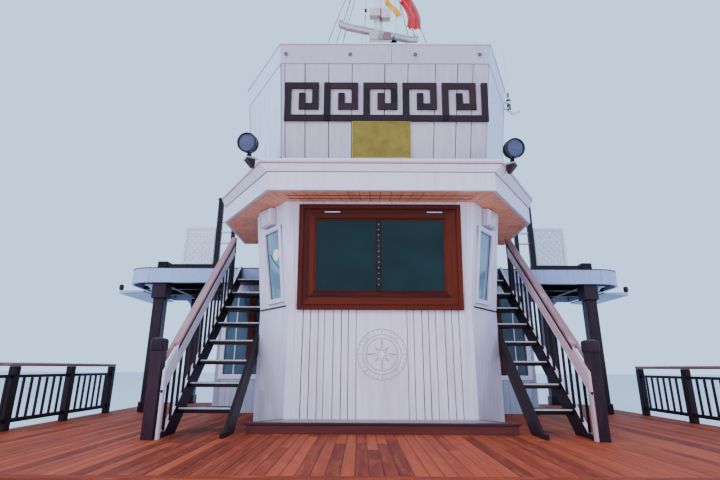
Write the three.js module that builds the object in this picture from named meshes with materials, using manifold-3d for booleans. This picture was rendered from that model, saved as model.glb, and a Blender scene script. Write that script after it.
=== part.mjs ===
// Forward house of a cruise junk's upper deck, in millimetres, +Z up. A white planked wheelhouse with a
// flared upper wall stands on its own strip of deck. Two open stairs climb past it to the roof deck behind.
// All sizes below are in house coordinates: X athwartships with +X to port, Y aft from the foot of the
// front wall, Z up from the top of the deck planks. The last group moves them to the centre of the foot.
import * as THREE from "three";
import { mergeVertices } from "three/addons/utils/BufferGeometryUtils.js";
import Module from "manifold-3d";

const wasm = await Module();
wasm.setup();

// Driving dimensions
const GAP = 0.3;
const DECK = { half: 4800, fore: -2700, aft: 4600, planks: 45 };
const BEAM = { deep: 200, wide: 120, pitch: 910 };
const STEP = { front: -440, halfFront: 1680, halfBack: 1310, rise: 130 };
const SILL_Z = 1600;
const HEAD_Z = 3090;
const EAVE = { low: 3085, split: 3355, bead: 3465, top: 3540, aft: 2200, board: 50, plank: 50, soffit: 25 };
const SCREEN = { frieze: 5230, top: 5540, aft: 2150, board: 35, rail: 60, proud: 12, seam: 1.5 };
// The screen's front stands to port of the middle by this much at its foot and head
const SCREEN_SHIFT = { foot: 53, head: 92 };
const WALL = { board: 60, aft: 2200 };
const FRONT_WINDOW = { wide: 2310, high: 1500, below: 55, side: 250, head: 230, sill: 270, proud: 62 };
const ROOF_DECK = { fore: 2130, half: 4790, low: 2315, top: 2600, plank: 40, board: 45, corner: 500 };
const GUTTER = { half: 5300, fore: 3040, low: 2240, deep: 90 };
const SALOON = { half: 2900, fore: 2200, aft: 3750, board: 55 };
const STAIR = { foot: -700, rise: 290, run: 314, treads: 8, tread: 60, inner: 1805, string: 45, going: 290 };
// The port stair is the narrower one: outer faces of the outer strings, and middles of the newels
const STAIR_OUTER = { port: 2390, stbd: 2565 };
const NEWEL_X = { port: 2408, stbd: 2615 };
const NEWEL = { y: -880, wide: 130, cap: 150, capLow: 950, top: 1100 };
const RAIL = { over: 1000, inboard: 30, wide: 100, thick: 54, narrows: -630, foot: -950, head: 1480 };
// The board on edge under the hand board: its thickness, and how far its edges lie below the rail's line
const UNDER = { thick: 32, top: 110, deepTop: 35, low: 270 };
const BALUSTER = { wide: 28, pitch: 158, inboard: 20, head: 60 };
const STRING_LIFT = 60;
const ROOF_POST = { x: 4100, y: 2330, wide: 200, stub: 2745, capital: 270, capitalLow: 2030, knee: 330 };
const AFT_POST_Y = 4400;
const MAST = { x: 75, y: 1500, foot: 125, head: 60, top: 10600, stayFrom: 10250, yard: 9000, yardHalf: 780 };
const STAY_FEET = [[1930, 1000], [1800, 1750], [1550, 1950]];
const RADAR = { x: 50, y: 600, low: 6310, body: 230, bar: 1520, turn: 0.27 };
const BELL = { x: 306, y: 500, z: 6375, high: 125, r: 55 };
// Boxes on the mast's fore side: left and right of the pole's middle, and their heights
const MAST_BOXES = [[-187, 32, 7700, 7890], [59, 243, 7650, 7866]];
// Pan axis and pin height of the port searchlight, which stands lower than the starboard one
const LAMP = { x: 1850, y: -500, pin: 3590, stbdRise: 70, seat: 60, up: 150, r: 140, pan: 7, tip: 14 };
const SIDE_RAIL = { x: 4700, top: 820, fore: -2650, aft: 2120 };
const DOOR = { wide: 780, high: 1960, thick: 42, sill: 25, clear: 6 };
const WHEEL = { y: 1120, z: 1010, r: 350 };

// Plan outlines of the bay: half width and Y of the front, then of the rear end of the canted side
const outline = (halfFront, front, halfSide, side) => ({ halfFront, front, halfSide, side });
const WALL_FOOT = outline(1270, 0, 1800, 650);
const WALL_HEAD = outline(1365, -141, 1925, 590);
const EAVE_LINE = outline(1555, -600, 2540, 840);
const MOULDING_LINE = outline(1660, -650, 2600, 790);
const SCREEN_FOOT = outline(1483, -249, 2099, 847);
const SCREEN_HEAD = outline(1600, -440, 2290, 770);

// Finishes
const finish = (color, roughness, metalness = 0) =>
  new THREE.MeshStandardMaterial({ color, roughness, metalness });
const whitePaint = finish(0xdfe3ea, 0.45);
const varnish = finish(0x6b2514, 0.25);
const darkWood = finish(0x24150f, 0.4);
const deckWood = finish(0x6e3a2c, 0.6);
const railWood = finish(0x8f5f58, 0.4);
const stepWood = finish(0x3a1c18, 0.45);
const windowGlass = finish(0x1d3438, 0.05);
const paleGlass = finish(0x9fc0cc, 0.05);
const lampMetal = finish(0x1c1f22, 0.3, 0.8);
const chrome = finish(0xc8ccd0, 0.15, 1);
const radarPaint = finish(0xe6e8ea, 0.4);
const yellowCloth = finish(0xf2c014, 0.8);
const redCloth = finish(0xd0181c, 0.8);

// Solids and geometry
function solid(geometry) {
  const bare = geometry.clone();
  bare.deleteAttribute("normal");
  bare.deleteAttribute("uv");
  const merged = mergeVertices(bare, 1e-3);
  const vertProperties = merged.attributes.position.array;
  const triVerts = new Uint32Array(merged.index.array);
  return new wasm.Manifold(new wasm.Mesh({ numProp: 3, vertProperties, triVerts }));
}

function geometryOf(manifold) {
  const { vertProperties, triVerts } = manifold.getMesh();
  const geometry = new THREE.BufferGeometry();
  geometry.setAttribute("position", new THREE.BufferAttribute(new Float32Array(vertProperties), 3));
  geometry.setIndex(new THREE.BufferAttribute(new Uint32Array(triVerts), 1));
  return geometry;
}

const join = (...parts) => geometryOf(parts.map(solid).reduce((sum, next) => sum.add(next)));
const cut = (body, ...tools) =>
  geometryOf(tools.map(solid).reduce((rest, tool) => rest.subtract(tool), solid(body)));

function block(x0, x1, y0, y1, z0, z1) {
  const geometry = new THREE.BoxGeometry(x1 - x0, y1 - y0, z1 - z0);
  return geometry.translate((x0 + x1) / 2, (y0 + y1) / 2, (z0 + z1) / 2);
}

// A flat shape pushed through a depth, then set on the basis (across, up, out) at a place.
function extruded(points, depth, matrix, holes = []) {
  const shape = new THREE.Shape(points.map(([x, y]) => new THREE.Vector2(x, y)));
  for (const hole of holes) shape.holes.push(new THREE.Path(hole.map(([x, y]) => new THREE.Vector2(x, y))));
  return new THREE.ExtrudeGeometry(shape, { depth, bevelEnabled: false }).applyMatrix4(matrix);
}

const vector = (x, y, z) => new THREE.Vector3(x, y, z);
const AX = vector(1, 0, 0);
const AY = vector(0, 1, 0);
const AZ = vector(0, 0, 1);
const basis = (across, up, out, at = vector(0, 0, 0)) =>
  new THREE.Matrix4().makeBasis(across, up, out).setPosition(at);

const slab = (points, z0, z1) => extruded(points, z1 - z0, basis(AX, AY, AZ, vector(0, 0, z0)));
const sidePlate = (points, x0, x1) => extruded(points, x1 - x0, basis(AY, AZ, AX, vector(x0, 0, 0)));

// A straight bar of a width along side and a depth square to it.
function bar(from, to, wide, deep, side = AX) {
  const along = to.clone().sub(from);
  const length = along.length();
  along.normalize();
  const out = along.clone().cross(side).normalize();
  const geometry = new THREE.BoxGeometry(wide, deep, length);
  const middle = from.clone().add(to).multiplyScalar(0.5);
  return geometry.applyMatrix4(basis(side, out, along, middle));
}

function rod(from, to, radius, sides = 12, endRadius = radius) {
  const along = to.clone().sub(from);
  const geometry = new THREE.CylinderGeometry(endRadius, radius, along.length(), sides);
  const turn = new THREE.Quaternion().setFromUnitVectors(AY, along.clone().normalize());
  const middle = from.clone().add(to).multiplyScalar(0.5);
  return geometry.applyMatrix4(new THREE.Matrix4().compose(middle, turn, vector(1, 1, 1)));
}

// A closed solid through rings of like-numbered points, each ring anticlockwise from above.
function loft(rings) {
  const count = rings[0].length;
  const index = [];
  for (let ring = 0; ring + 1 < rings.length; ring++) {
    for (let i = 0; i < count; i++) {
      const a = ring * count + i;
      const b = ring * count + ((i + 1) % count);
      index.push(a, b, b + count, a, b + count, a + count);
    }
  }
  const flat = rings[0].map(([x, y]) => new THREE.Vector2(x, y));
  const last = (rings.length - 1) * count;
  const caps = count === 4 ? [[0, 1, 2], [0, 2, 3]] : THREE.ShapeUtils.triangulateShape(flat, []);
  for (const [a, b, c] of caps) {
    index.push(a, c, b, last + a, last + b, last + c);
  }
  const geometry = new THREE.BufferGeometry();
  geometry.setAttribute("position", new THREE.BufferAttribute(new Float32Array(rings.flat(2)), 3));
  return geometry.setIndex(index);
}

// The outline moved inwards by a thickness, each side staying parallel to itself.
function inset(line, t) {
  const dx = line.halfSide - line.halfFront;
  const dy = line.side - line.front;
  const length = Math.hypot(dx, dy);
  const mx = dy / length;
  const my = -dx / length;
  return outline(
    line.halfFront - (t * (1 + my)) / mx,
    line.front + t,
    line.halfSide - t,
    line.side - (t * (1 - mx)) / my,
  );
}

const ringOf = (line, aft) => [
  [-line.halfSide, aft],
  [-line.halfSide, line.side],
  [-line.halfFront, line.front],
  [line.halfFront, line.front],
  [line.halfSide, line.side],
  [line.halfSide, aft],
];
const at = (points, z) => points.map(([x, y]) => [x, y, z]);

const alongCanted = (line) =>
  vector(line.halfSide - line.halfFront, line.side - line.front, 0).normalize();

// One flat side of the bay between two corners, through levels of { line, z }, as a board of thickness t
function bayPanel(side, levels, t, aft, gap = GAP) {
  return loft(levels.map(({ line, z }) => {
    const inner = inset(line, t);
    const way = alongCanted(line).multiplyScalar(gap);
    const quads = {
      front: [
        [gap - line.halfFront, line.front],
        [line.halfFront - gap, line.front],
        [inner.halfFront - gap, inner.front],
        [gap - inner.halfFront, inner.front],
      ],
      canted: [
        [line.halfFront + way.x, line.front + way.y],
        [line.halfSide - way.x, line.side - way.y],
        [inner.halfSide - way.x, inner.side - way.y],
        [inner.halfFront + way.x, inner.front + way.y],
      ],
      side: [
        [line.halfSide, line.side + gap],
        [line.halfSide, aft],
        [inner.halfSide, aft],
        [inner.halfSide, inner.side + gap],
      ],
    };
    return at(quads[side], z);
  }));
}

// The plane of a leaning face: its foot in the middle, level across, up the lean, and straight out.
function facePlane(low, high, lowZ, highZ, side) {
  const isFront = side === "front";
  const a = isFront ? vector(0, low.front, lowZ) : vector(
    (low.halfFront + low.halfSide) / 2, (low.front + low.side) / 2, lowZ);
  const across = isFront ? AX : alongCanted(low);
  const level = across.clone().cross(AZ);
  const reach = isFront ? low.front - high.front : vector(high.halfFront, high.front, 0)
    .sub(vector(low.halfFront, low.front, 0)).dot(level);
  const up = AZ.clone().multiplyScalar(highZ - lowZ).addScaledVector(level, reach).normalize();
  return basis(across, up, across.clone().cross(up), a);
}

const rectangle = (x0, x1, y0, y1) => [[x0, y0], [x1, y0], [x1, y1], [x0, y1]];
const raised = (plane, out) => plane.clone().multiply(new THREE.Matrix4().makeTranslation(0, 0, out));

// Deck strip: planks laid on a frame of beams, closed by a girder on each side
function deckFrame() {
  const { half, fore, aft, planks } = DECK;
  const top = -planks - GAP;
  const low = top - BEAM.deep;
  const parts = [-half, -half / 3, half / 3 - BEAM.wide, half - BEAM.wide]
    .map((x) => block(x, x + BEAM.wide, fore, aft, low, top));
  for (let y = fore; y < aft; y += BEAM.pitch) {
    const end = Math.min(y + BEAM.wide, aft);
    parts.push(block(-half, half, y, end, low, top));
  }
  parts.push(block(-half, half, aft - BEAM.wide, aft, low, top));
  return join(...parts);
}

const deckPlanking = () => block(-DECK.half, DECK.half, DECK.fore, DECK.aft, -DECK.planks, 0);

const frontStep = () => slab(
  [
    [-STEP.halfFront, STEP.front],
    [STEP.halfFront, STEP.front],
    [STEP.halfBack, -GAP],
    [-STEP.halfBack, -GAP],
  ],
  GAP,
  STEP.rise,
);

// Wheelhouse walls: plumb below the sill and leaning out above it
const WALL_LEVELS = [
  { line: WALL_FOOT, z: GAP },
  { line: WALL_FOOT, z: SILL_Z },
  { line: WALL_HEAD, z: HEAD_Z },
];
const frontPlane = facePlane(WALL_FOOT, WALL_HEAD, SILL_Z, HEAD_Z, "front");
const cantedPlane = facePlane(WALL_FOOT, WALL_HEAD, SILL_Z, HEAD_Z, "canted");
const frontGlass = {
  x: FRONT_WINDOW.wide / 2 - FRONT_WINDOW.side,
  low: FRONT_WINDOW.sill - FRONT_WINDOW.below,
  high: FRONT_WINDOW.high - FRONT_WINDOW.below - FRONT_WINDOW.head,
};
const MULLION = { x: -20, wide: 60 };
// The side lights are wider at the head than at the foot
const SIDE_LIGHT = { fore: -250, aftFoot: 75, aftHead: 165, low: 130, high: 1130, frame: 65, thick: 30 };
const sideLight = (grow) => [
  [SIDE_LIGHT.fore - grow, SIDE_LIGHT.low - grow],
  [SIDE_LIGHT.aftFoot + grow, SIDE_LIGHT.low - grow],
  [SIDE_LIGHT.aftHead + grow, SIDE_LIGHT.high + grow],
  [SIDE_LIGHT.fore - grow, SIDE_LIGHT.high + grow],
];

function wallFront() {
  const { x, low, high } = frontGlass;
  const through = extruded(rectangle(-x, x, low, high), 400, raised(frontPlane, -200));
  return cut(bayPanel("front", WALL_LEVELS, WALL.board), through);
}

function wallCanted() {
  const through = extruded(sideLight(0), 400, raised(cantedPlane, -200));
  return cut(bayPanel("canted", WALL_LEVELS, WALL.board), through);
}

// The side wall ends on the saloon's front below the roof deck, and just ahead of it above
function wallSide() {
  const overDeck = block(1000, 2500, ROOF_DECK.fore - GAP, 3000, ROOF_DECK.low - GAP, HEAD_Z + 10);
  return cut(bayPanel("side", WALL_LEVELS, WALL.board, WALL.aft - GAP), overDeck);
}

const backTransom = () => {
  const half = WALL_FOOT.halfSide - WALL.board - GAP;
  const lean = (WALL_HEAD.halfSide - WALL_FOOT.halfSide) / (HEAD_Z - SILL_Z);
  const low = ROOF_DECK.low;
  const halfLow = half + lean * (low - SILL_Z);
  const halfHigh = half + lean * (HEAD_Z - SILL_Z);
  const back = ROOF_DECK.fore - GAP;
  const fore = back - WALL.board;
  const ring = (h) => [[-h, fore], [h, fore], [h, back], [-h, back]];
  return loft([at(ring(halfLow), low), at(ring(halfHigh), HEAD_Z)]);
};

function frontWindowFrame() {
  const { wide, high, below, proud } = FRONT_WINDOW;
  const { x, low, high: headZ } = frontGlass;
  const half = wide / 2;
  const outer = rectangle(-half, half, -below, high - below);
  const step = rectangle(-half + 70, half - 70, 70 - below, high - below - 70);
  const glass = rectangle(-x, x, low, headZ);
  const plane = raised(frontPlane, GAP);
  const body = extruded(outer, proud - 14, plane, [glass]);
  const rim = extruded(outer, proud, plane, [step]);
  const bead = extruded(rectangle(-x - 45, x + 45, low - 45, headZ + 45), proud - 4, plane, [glass]);
  const bar = rectangle(MULLION.x - MULLION.wide / 2, MULLION.x + MULLION.wide / 2, low - 10, headZ + 10);
  const mullion = extruded(bar, 22, raised(frontPlane, 20 + GAP));
  const behindWall = block(-half - 10, half + 10, -GAP, 300, 1300, SILL_Z + 5);
  return cut(join(body, rim, bead, mullion), behindWall);
}

// One sheet of glass that runs on behind the mullion
function frontGlassSheet() {
  const { x, low, high } = frontGlass;
  return extruded(rectangle(GAP - x, x - GAP, low + GAP, high - GAP), 8, raised(frontPlane, 12));
}

function sideLightFrame() {
  return extruded(sideLight(SIDE_LIGHT.frame), SIDE_LIGHT.thick, raised(cantedPlane, GAP), [sideLight(0)]);
}

const sideLightGlass = () => extruded(sideLight(-GAP), 8, raised(cantedPlane, -20));

// A flood lamp box under the soffit, above each side light
function floodLamp() {
  const box = rectangle(-165, 165, 1225, 1480);
  const glass = rectangle(-135, 135, 1255, 1450);
  const body = extruded(box, 110, raised(cantedPlane, GAP));
  return cut(body, extruded(glass, 40, raised(cantedPlane, 95)));
}

// Eave: soffit boards, a fascia, a band that leans out over it to a bead, and the roof planks, as one tray
const soffit = () => slab(ringOf(inset(EAVE_LINE, EAVE.board + GAP), EAVE.aft - EAVE.board - GAP),
  HEAD_Z + GAP, HEAD_Z + EAVE.soffit);

function eaveRoof() {
  const fascia = slab(ringOf(EAVE_LINE, EAVE.aft), EAVE.low, EAVE.split + 5);
  const band = loft([
    at(ringOf(inset(EAVE_LINE, -10), EAVE.aft + 10), EAVE.split),
    at(ringOf(inset(MOULDING_LINE, 12), EAVE.aft + 18), EAVE.bead + 5),
  ]);
  const bead = slab(ringOf(MOULDING_LINE, EAVE.aft + 30), EAVE.bead, EAVE.top);
  const inside = slab(ringOf(inset(EAVE_LINE, EAVE.board), EAVE.aft - EAVE.board), EAVE.low - 50,
    EAVE.top - EAVE.plank);
  return cut(join(fascia, band, bead), inside);
}

// Roof screen: leaning planked sides with a frieze and a cap, on studs and rails inside
const screenLine = (z) => {
  const t = (z - EAVE.top) / (SCREEN.top - EAVE.top);
  const mix = (key) => SCREEN_FOOT[key] + t * (SCREEN_HEAD[key] - SCREEN_FOOT[key]);
  return outline(mix("halfFront"), mix("front"), mix("halfSide"), mix("side"));
};
const screenLevels = (z0, z1, grow = 0) =>
  [z0, z1].map((z) => ({ line: inset(screenLine(z), -grow), z }));

// The same piece with its front moved athwartships, dying away towards the corners aft
function shifted(geometry, hand) {
  const position = geometry.getAttribute("position");
  for (let i = 0; i < position.count; i++) {
    const z = position.getZ(i);
    const { front, side } = screenLine(z);
    const share = THREE.MathUtils.clamp((side - position.getY(i)) / (side - front), 0, 1);
    const rise = (z - EAVE.top) / (SCREEN.top - EAVE.top);
    const shift = THREE.MathUtils.lerp(SCREEN_SHIFT.foot, SCREEN_SHIFT.head, rise);
    position.setX(i, position.getX(i) + hand * shift * share);
  }
  return geometry;
}

function screenSide(side, hand) {
  const board = (z0, z1, grow, thick) =>
    shifted(bayPanel(side, screenLevels(z0, z1, grow), thick, SCREEN.aft, SCREEN.seam), hand);
  const foot = EAVE.top + GAP;
  const planks = board(foot, SCREEN.top, 0, SCREEN.board);
  const frieze = board(SCREEN.frieze, SCREEN.top, SCREEN.proud, SCREEN.board);
  const cap = board(SCREEN.top - 5, SCREEN.top + 30, 25, 110);
  const rails = [foot, (foot + SCREEN.top) / 2, SCREEN.top - 90].map((z) =>
    board(z, z + 70, -SCREEN.board + 5, SCREEN.rail));
  return join(planks, frieze, cap, ...rails);
}

// Mast: a tapered pole with a radar bracket, two lamp boxes, a bell lamp and a crosstree
function mast() {
  const foot = vector(MAST.x, MAST.y, EAVE.top + GAP);
  const head = vector(MAST.x, MAST.y, MAST.top);
  const bell = vector(BELL.x, BELL.y, BELL.z);
  const { x, y, low } = RADAR;
  const { yard, yardHalf } = MAST;
  const parts = [
    rod(foot, head, MAST.foot, 20, MAST.head),
    rod(foot, foot.clone().setZ(EAVE.top + 40), 210, 20),
    rod(vector(MAST.x, MAST.y, MAST.top - 20), vector(MAST.x, MAST.y, MAST.top + 40), 75, 16),
    block(MAST.x - yardHalf, MAST.x + yardHalf, MAST.y - 30, MAST.y + 30, yard, yard + 60),
    block(x - 170, x + 170, y - 190, y + 190, low - 30, low),
    block(x - 60, x + 60, y, MAST.y, low - 75, low - 5),
    bar(vector(x, y + 60, low - 80), vector(x, MAST.y - 40, low - 560), 60, 60),
    ...MAST_BOXES.map(([x0, x1, z0, z1]) =>
      block(MAST.x + x0, MAST.x + x1, MAST.y - 190, MAST.y - 30, z0, z1)),
    block(x + 150, bell.x + 12, bell.y - 12, bell.y + 12, low - 25, low - 5),
    block(bell.x - 12, bell.x + 12, bell.y - 12, bell.y + 12, low - 25, bell.z + 40),
    rod(bell, bell.clone().setZ(bell.z + BELL.high), BELL.r, 14, 14),
  ];
  return join(...parts);
}

// Wire stays from a collar near the masthead to eye plates on the roof
function mastStays() {
  const { x: mx, y: my, foot: r0, head: r1, stayFrom, top } = MAST;
  const radiusAt = (z) => r0 + ((r1 - r0) * (z - EAVE.top)) / (top - EAVE.top);
  const low = vector(mx, my, stayFrom - 40);
  const high = vector(mx, my, stayFrom + 40);
  const bore = rod(low.clone().setZ(low.z - 5), high.clone().setZ(high.z + 5), radiusAt(low.z) + 1, 20);
  const collar = cut(rod(low, high, radiusAt(low.z) + 14, 20), bore);
  const parts = [collar];
  for (const [x, y] of STAY_FEET.flatMap(([px, py]) => [[-px, py], [px, py]])) {
    const away = vector(x - mx, y - my, 0).normalize().multiplyScalar(radiusAt(low.z) + 9);
    const end = vector(mx + away.x, my + away.y, stayFrom - 20);
    parts.push(rod(end, vector(x, y, EAVE.top + 10), 7, 6));
    parts.push(block(x - 35, x + 35, y - 35, y + 35, EAVE.top + GAP, EAVE.top + 14));
  }
  return join(...parts);
}

function radarPedestal() {
  const { x, y, low, body } = RADAR;
  const z = low + GAP;
  const parts = [
    block(x - 184, x + 199, y - 190, y + 190, z, z + 35),
    block(x - 184, x - 14, y - 190, y - 70, z + 30, z + 250),
    block(x + 66, x + 199, y - 190, y - 70, z + 30, z + 210),
    rod(vector(x, y, z + 20), vector(x, y, z + body), 75, 20),
  ];
  return join(...parts);
}

// The scanner turns on its pedestal; its bar has upturned ends
function radarScanner() {
  const low = RADAR.low + RADAR.body + 6;
  const half = RADAR.bar / 2;
  const profile = [[-half, 60], [-half + 30, 25], [-half + 170, 0], [half - 170, 0], [half - 30, 25],
    [half, 60], [half, 150], [half - 170, 110], [-half + 170, 110], [-half, 150]];
  const beam = extruded(profile, 80, basis(AX, AZ, AY.clone().negate(), vector(0, 40, 40)));
  const neck = rod(vector(0, 0, 0), vector(0, 0, 60), 60, 16);
  return join(beam, neck).rotateZ(RADAR.turn).translate(RADAR.x, RADAR.y, low);
}

// Flags on the crosstree's halyards. The cloth falls away to port, steeper and steeper, in a band square to
// its way, and waves a little fore and aft.
function flag({ x, top, long, high, band, from, to }) {
  const line = rod(vector(x, MAST.y, MAST.yard - GAP), vector(x, MAST.y, top - high - 350), 5, 6);
  const steps = 8;
  const place = vector(x, 0, top);
  const rings = [];
  for (let i = 0; i <= steps; i++) {
    const s = i / steps;
    const angle = THREE.MathUtils.lerp(from, to, s);
    const open = THREE.MathUtils.smoothstep(s, 0, 0.25);
    const px = place.x - band * Math.sin(angle) * open;
    const pz = place.z - band * Math.cos(angle) * open - high * (1 - open);
    const y = MAST.y + 50 * Math.sin(5.2 * s);
    rings.push([[px, y - 6, pz], [px, y + 6, pz], [place.x, y + 6, place.z], [place.x, y - 6, place.z]]);
    const next = THREE.MathUtils.lerp(from, to, (i + 0.5) / steps);
    place.x += (long / steps) * Math.cos(next);
    place.z -= (long / steps) * Math.sin(next);
  }
  return join(line, loft(rings));
}

// Searchlights: a wedge bracket on the crown's canted face, a fork that pans on its plate, and a drum that
// tilts on the fork's pin
const crownAlong = alongCanted(MOULDING_LINE);
const crownOut = crownAlong.clone().cross(AZ);

function lampBase() {
  const top = LAMP.pin - LAMP.seat;
  const corner = vector(MOULDING_LINE.halfFront, MOULDING_LINE.front, 0);
  const reach = vector(LAMP.x, LAMP.y, 0).sub(corner).dot(crownAlong);
  const foot = corner.addScaledVector(crownAlong, reach);
  const ring = (half, out, z) => at(rectangle(GAP, out, -half, half), z);
  const wedge = loft([ring(28, 45, top - 130), ring(66, 122, top - 20)]);
  const plate = loft([ring(75, 130, top - 25), ring(75, 130, top)]);
  return join(wedge, plate).applyMatrix4(basis(crownOut, crownAlong, AZ, foot));
}

const lampPlace = () =>
  new THREE.Matrix4().makeRotationZ(THREE.MathUtils.degToRad(LAMP.pan)).setPosition(LAMP.x, LAMP.y, LAMP.pin);

function lampFork() {
  const seat = GAP - LAMP.seat;
  const parts = [
    rod(vector(0, 0, seat), vector(0, 0, seat + 12), 50, 16),
    rod(vector(0, 0, seat + 5), vector(0, 0, -24), 38, 16),
    block(-26, -14, -13, 13, -30, 11),
    block(14, 26, -13, 13, -30, 11),
  ];
  return join(...parts).applyMatrix4(lampPlace());
}

function lampHead() {
  const r = LAMP.r;
  const profile = [[0, 118], [r * 0.45, 112], [r * 0.8, 80], [r * 0.94, 20], [r * 0.94, -60], [r, -64],
    [r, -96], [r * 0.88, -100], [r * 0.86, -84], [0, -70]];
  const drum = new THREE.LatheGeometry(profile.map(([x, y]) => new THREE.Vector2(x, y)).reverse(), 24);
  const lug = rod(vector(-11, 0, 0), vector(11, 0, 0), 16, 12);
  const strut = block(-11, 11, -13, 13, 0, LAMP.up - r * 0.85);
  const head = join(drum.translate(0, 0, LAMP.up), lug, strut);
  return head.rotateX(THREE.MathUtils.degToRad(LAMP.tip)).applyMatrix4(lampPlace());
}

// A whip aerial clamped to the port side of the roof screen
function whipAerial() {
  const x = 2390;
  const y = 880;
  const low = SCREEN.frieze + 20;
  const high = SCREEN.top - 110;
  const foot = screenLine(low).halfSide + SCREEN.proud + GAP;
  const head = screenLine(high).halfSide + SCREEN.proud + GAP;
  const plate = loft([
    at(rectangle(foot, foot + 8, y - 45, y + 45), low),
    at(rectangle(head, head + 8, y - 45, y + 45), high),
  ]);
  const parts = [
    plate,
    rod(vector(x, y, low - 50), vector(x, y, 5600), 22, 10),
    rod(vector(x, y, 5590), vector(x, y, 6690), 9, 8, 4),
    rod(vector(x, y, high), vector(x, y, high + 20), 42, 16),
    block(foot + 5, x + 10, y - 25, y + 25, low + 10, low + 40),
    block(head + 5, x + 10, y - 25, y + 25, high - 50, high - 20),
  ];
  return join(...parts);
}

// Stairs: two strings and open treads, the inner string leaning with the wall above the sill
const treadZ = (n) => n * STAIR.rise;
const treadY = (n) => STAIR.foot + n * STAIR.run;
const SLOPE = STAIR.rise / STAIR.run;
const nosing = (y) => (y - STAIR.foot) * SLOPE;
const WALL_LEAN = (WALL_HEAD.halfSide - WALL_FOOT.halfSide) / (HEAD_Z - SILL_Z);
const STAIR_START = NEWEL.y + NEWEL.wide / 2 + GAP;

function innerString(profile) {
  const upright = sidePlate(profile, STAIR.inner, STAIR.inner + STAIR.string);
  const space = (z0, z1) => block(0, 5000, -3000, 5000, z0, z1);
  const lean = new THREE.Matrix4().set(
    1, 0, WALL_LEAN, -WALL_LEAN * SILL_Z,
    0, 1, 0, 0,
    0, 0, 1, 0,
    0, 0, 0, 1,
  );
  return join(cut(upright, space(SILL_Z, 5000)), cut(upright, space(-100, SILL_Z - 1)).applyMatrix4(lean));
}

function stair(outer) {
  const { foot, inner, string, treads, tread, going } = STAIR;
  const end = ROOF_DECK.fore - GAP;
  const drop = 300;
  const profile = [
    [STAIR_START, GAP],
    [foot + drop / SLOPE, GAP],
    [end, nosing(end) - drop],
    [end, nosing(end) - 45],
    [end - 60, nosing(end - 60) + STRING_LIFT],
    [foot, STRING_LIFT],
    [STAIR_START, STRING_LIFT],
  ];
  const parts = [innerString(profile), sidePlate(profile, outer - string, outer)];
  for (let n = 1; n <= treads; n++) {
    const y = treadY(n);
    const z = treadZ(n);
    const from = inner + 5 + WALL_LEAN * Math.max(0, z - SILL_Z);
    parts.push(block(from, outer - 5, y, y + going, z - tread, z));
  }
  return join(...parts);
}

// Balustrade on the outer string: a wide hand board, a deep board on edge under its inboard side, a fillet
// between them and square balusters. Near the foot the hand board narrows and the other one deepens.
function stairRail(outerFace) {
  const x = outerFace - RAIL.inboard;
  const half = RAIL.wide / 2;
  const raking = (x0, x1, y0, y1, drop0, drop1) => sidePlate(
    [
      [y0, nosing(y0) + RAIL.over - drop1],
      [y1, nosing(y1) + RAIL.over - drop1],
      [y1, nosing(y1) + RAIL.over - drop0],
      [y0, nosing(y0) + RAIL.over - drop0],
    ],
    x + x0,
    x + x1,
  );
  const { narrows, foot, head, thick } = RAIL;
  const outer = UNDER.thick - half;
  const parts = [
    raking(-half, half, narrows, head, 0, thick),
    raking(0, half, STAIR_START, narrows + 5, 0, thick),
    raking(-half, outer, narrows, head, UNDER.top, UNDER.low),
    raking(-half, outer, foot, narrows + 5, UNDER.deepTop, UNDER.low),
    raking(8 - half, outer - 6, narrows, head, thick - 4, UNDER.top + 5),
    block(x - half, x + outer, foot, foot + 60, GAP, nosing(foot) + RAIL.over - UNDER.low + 70),
  ];
  const upright = (y, wide, drop) => {
    const h = wide / 2;
    return sidePlate(
      [
        [y - h, Math.max(0, nosing(y - h)) + STRING_LIFT + GAP],
        [y + h, Math.max(0, nosing(y + h)) + STRING_LIFT + GAP],
        [y + h, nosing(y) + RAIL.over - drop],
        [y - h, nosing(y) + RAIL.over - drop],
      ],
      x - BALUSTER.inboard - h,
      x - BALUSTER.inboard + h,
    );
  };
  for (let y = STAIR_START + 60; y < head - 100; y += BALUSTER.pitch) {
    parts.push(upright(y, BALUSTER.wide, UNDER.low - 10));
  }
  parts.push(upright(head - 40, BALUSTER.head, 20));
  return join(...parts);
}

function newel(x) {
  const { y, wide, cap, capLow, top } = NEWEL;
  const square = (side) => rectangle(x - side / 2, x + side / 2, y - side / 2, y + side / 2);
  const post = slab(square(wide), GAP, capLow + 10);
  const head = loft([
    at(square(cap - 16), capLow),
    at(square(cap), capLow + 20),
    at(square(cap), top - 35),
    at(square(cap - 24), top - 10),
    at(square(cap - 70), top),
  ]);
  return join(post, head);
}

// Roof deck with rounded forward corners, a deep fascia, beams under it and a gutter along each side
function deckCornerLine(reach) {
  const { half, fore, corner } = ROOF_DECK;
  const points = [];
  for (let i = 0; i <= 8; i++) {
    const angle = (i / 8) * (Math.PI / 2);
    const r = corner - reach;
    points.push([half - corner + r * Math.sin(angle), fore + corner - r * Math.cos(angle)]);
  }
  const left = points.map(([x, y]) => [-x, y]).reverse();
  const aft = DECK.aft - reach;
  return [[-half + reach, aft], ...left, ...points, [half - reach, aft]];
}

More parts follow.
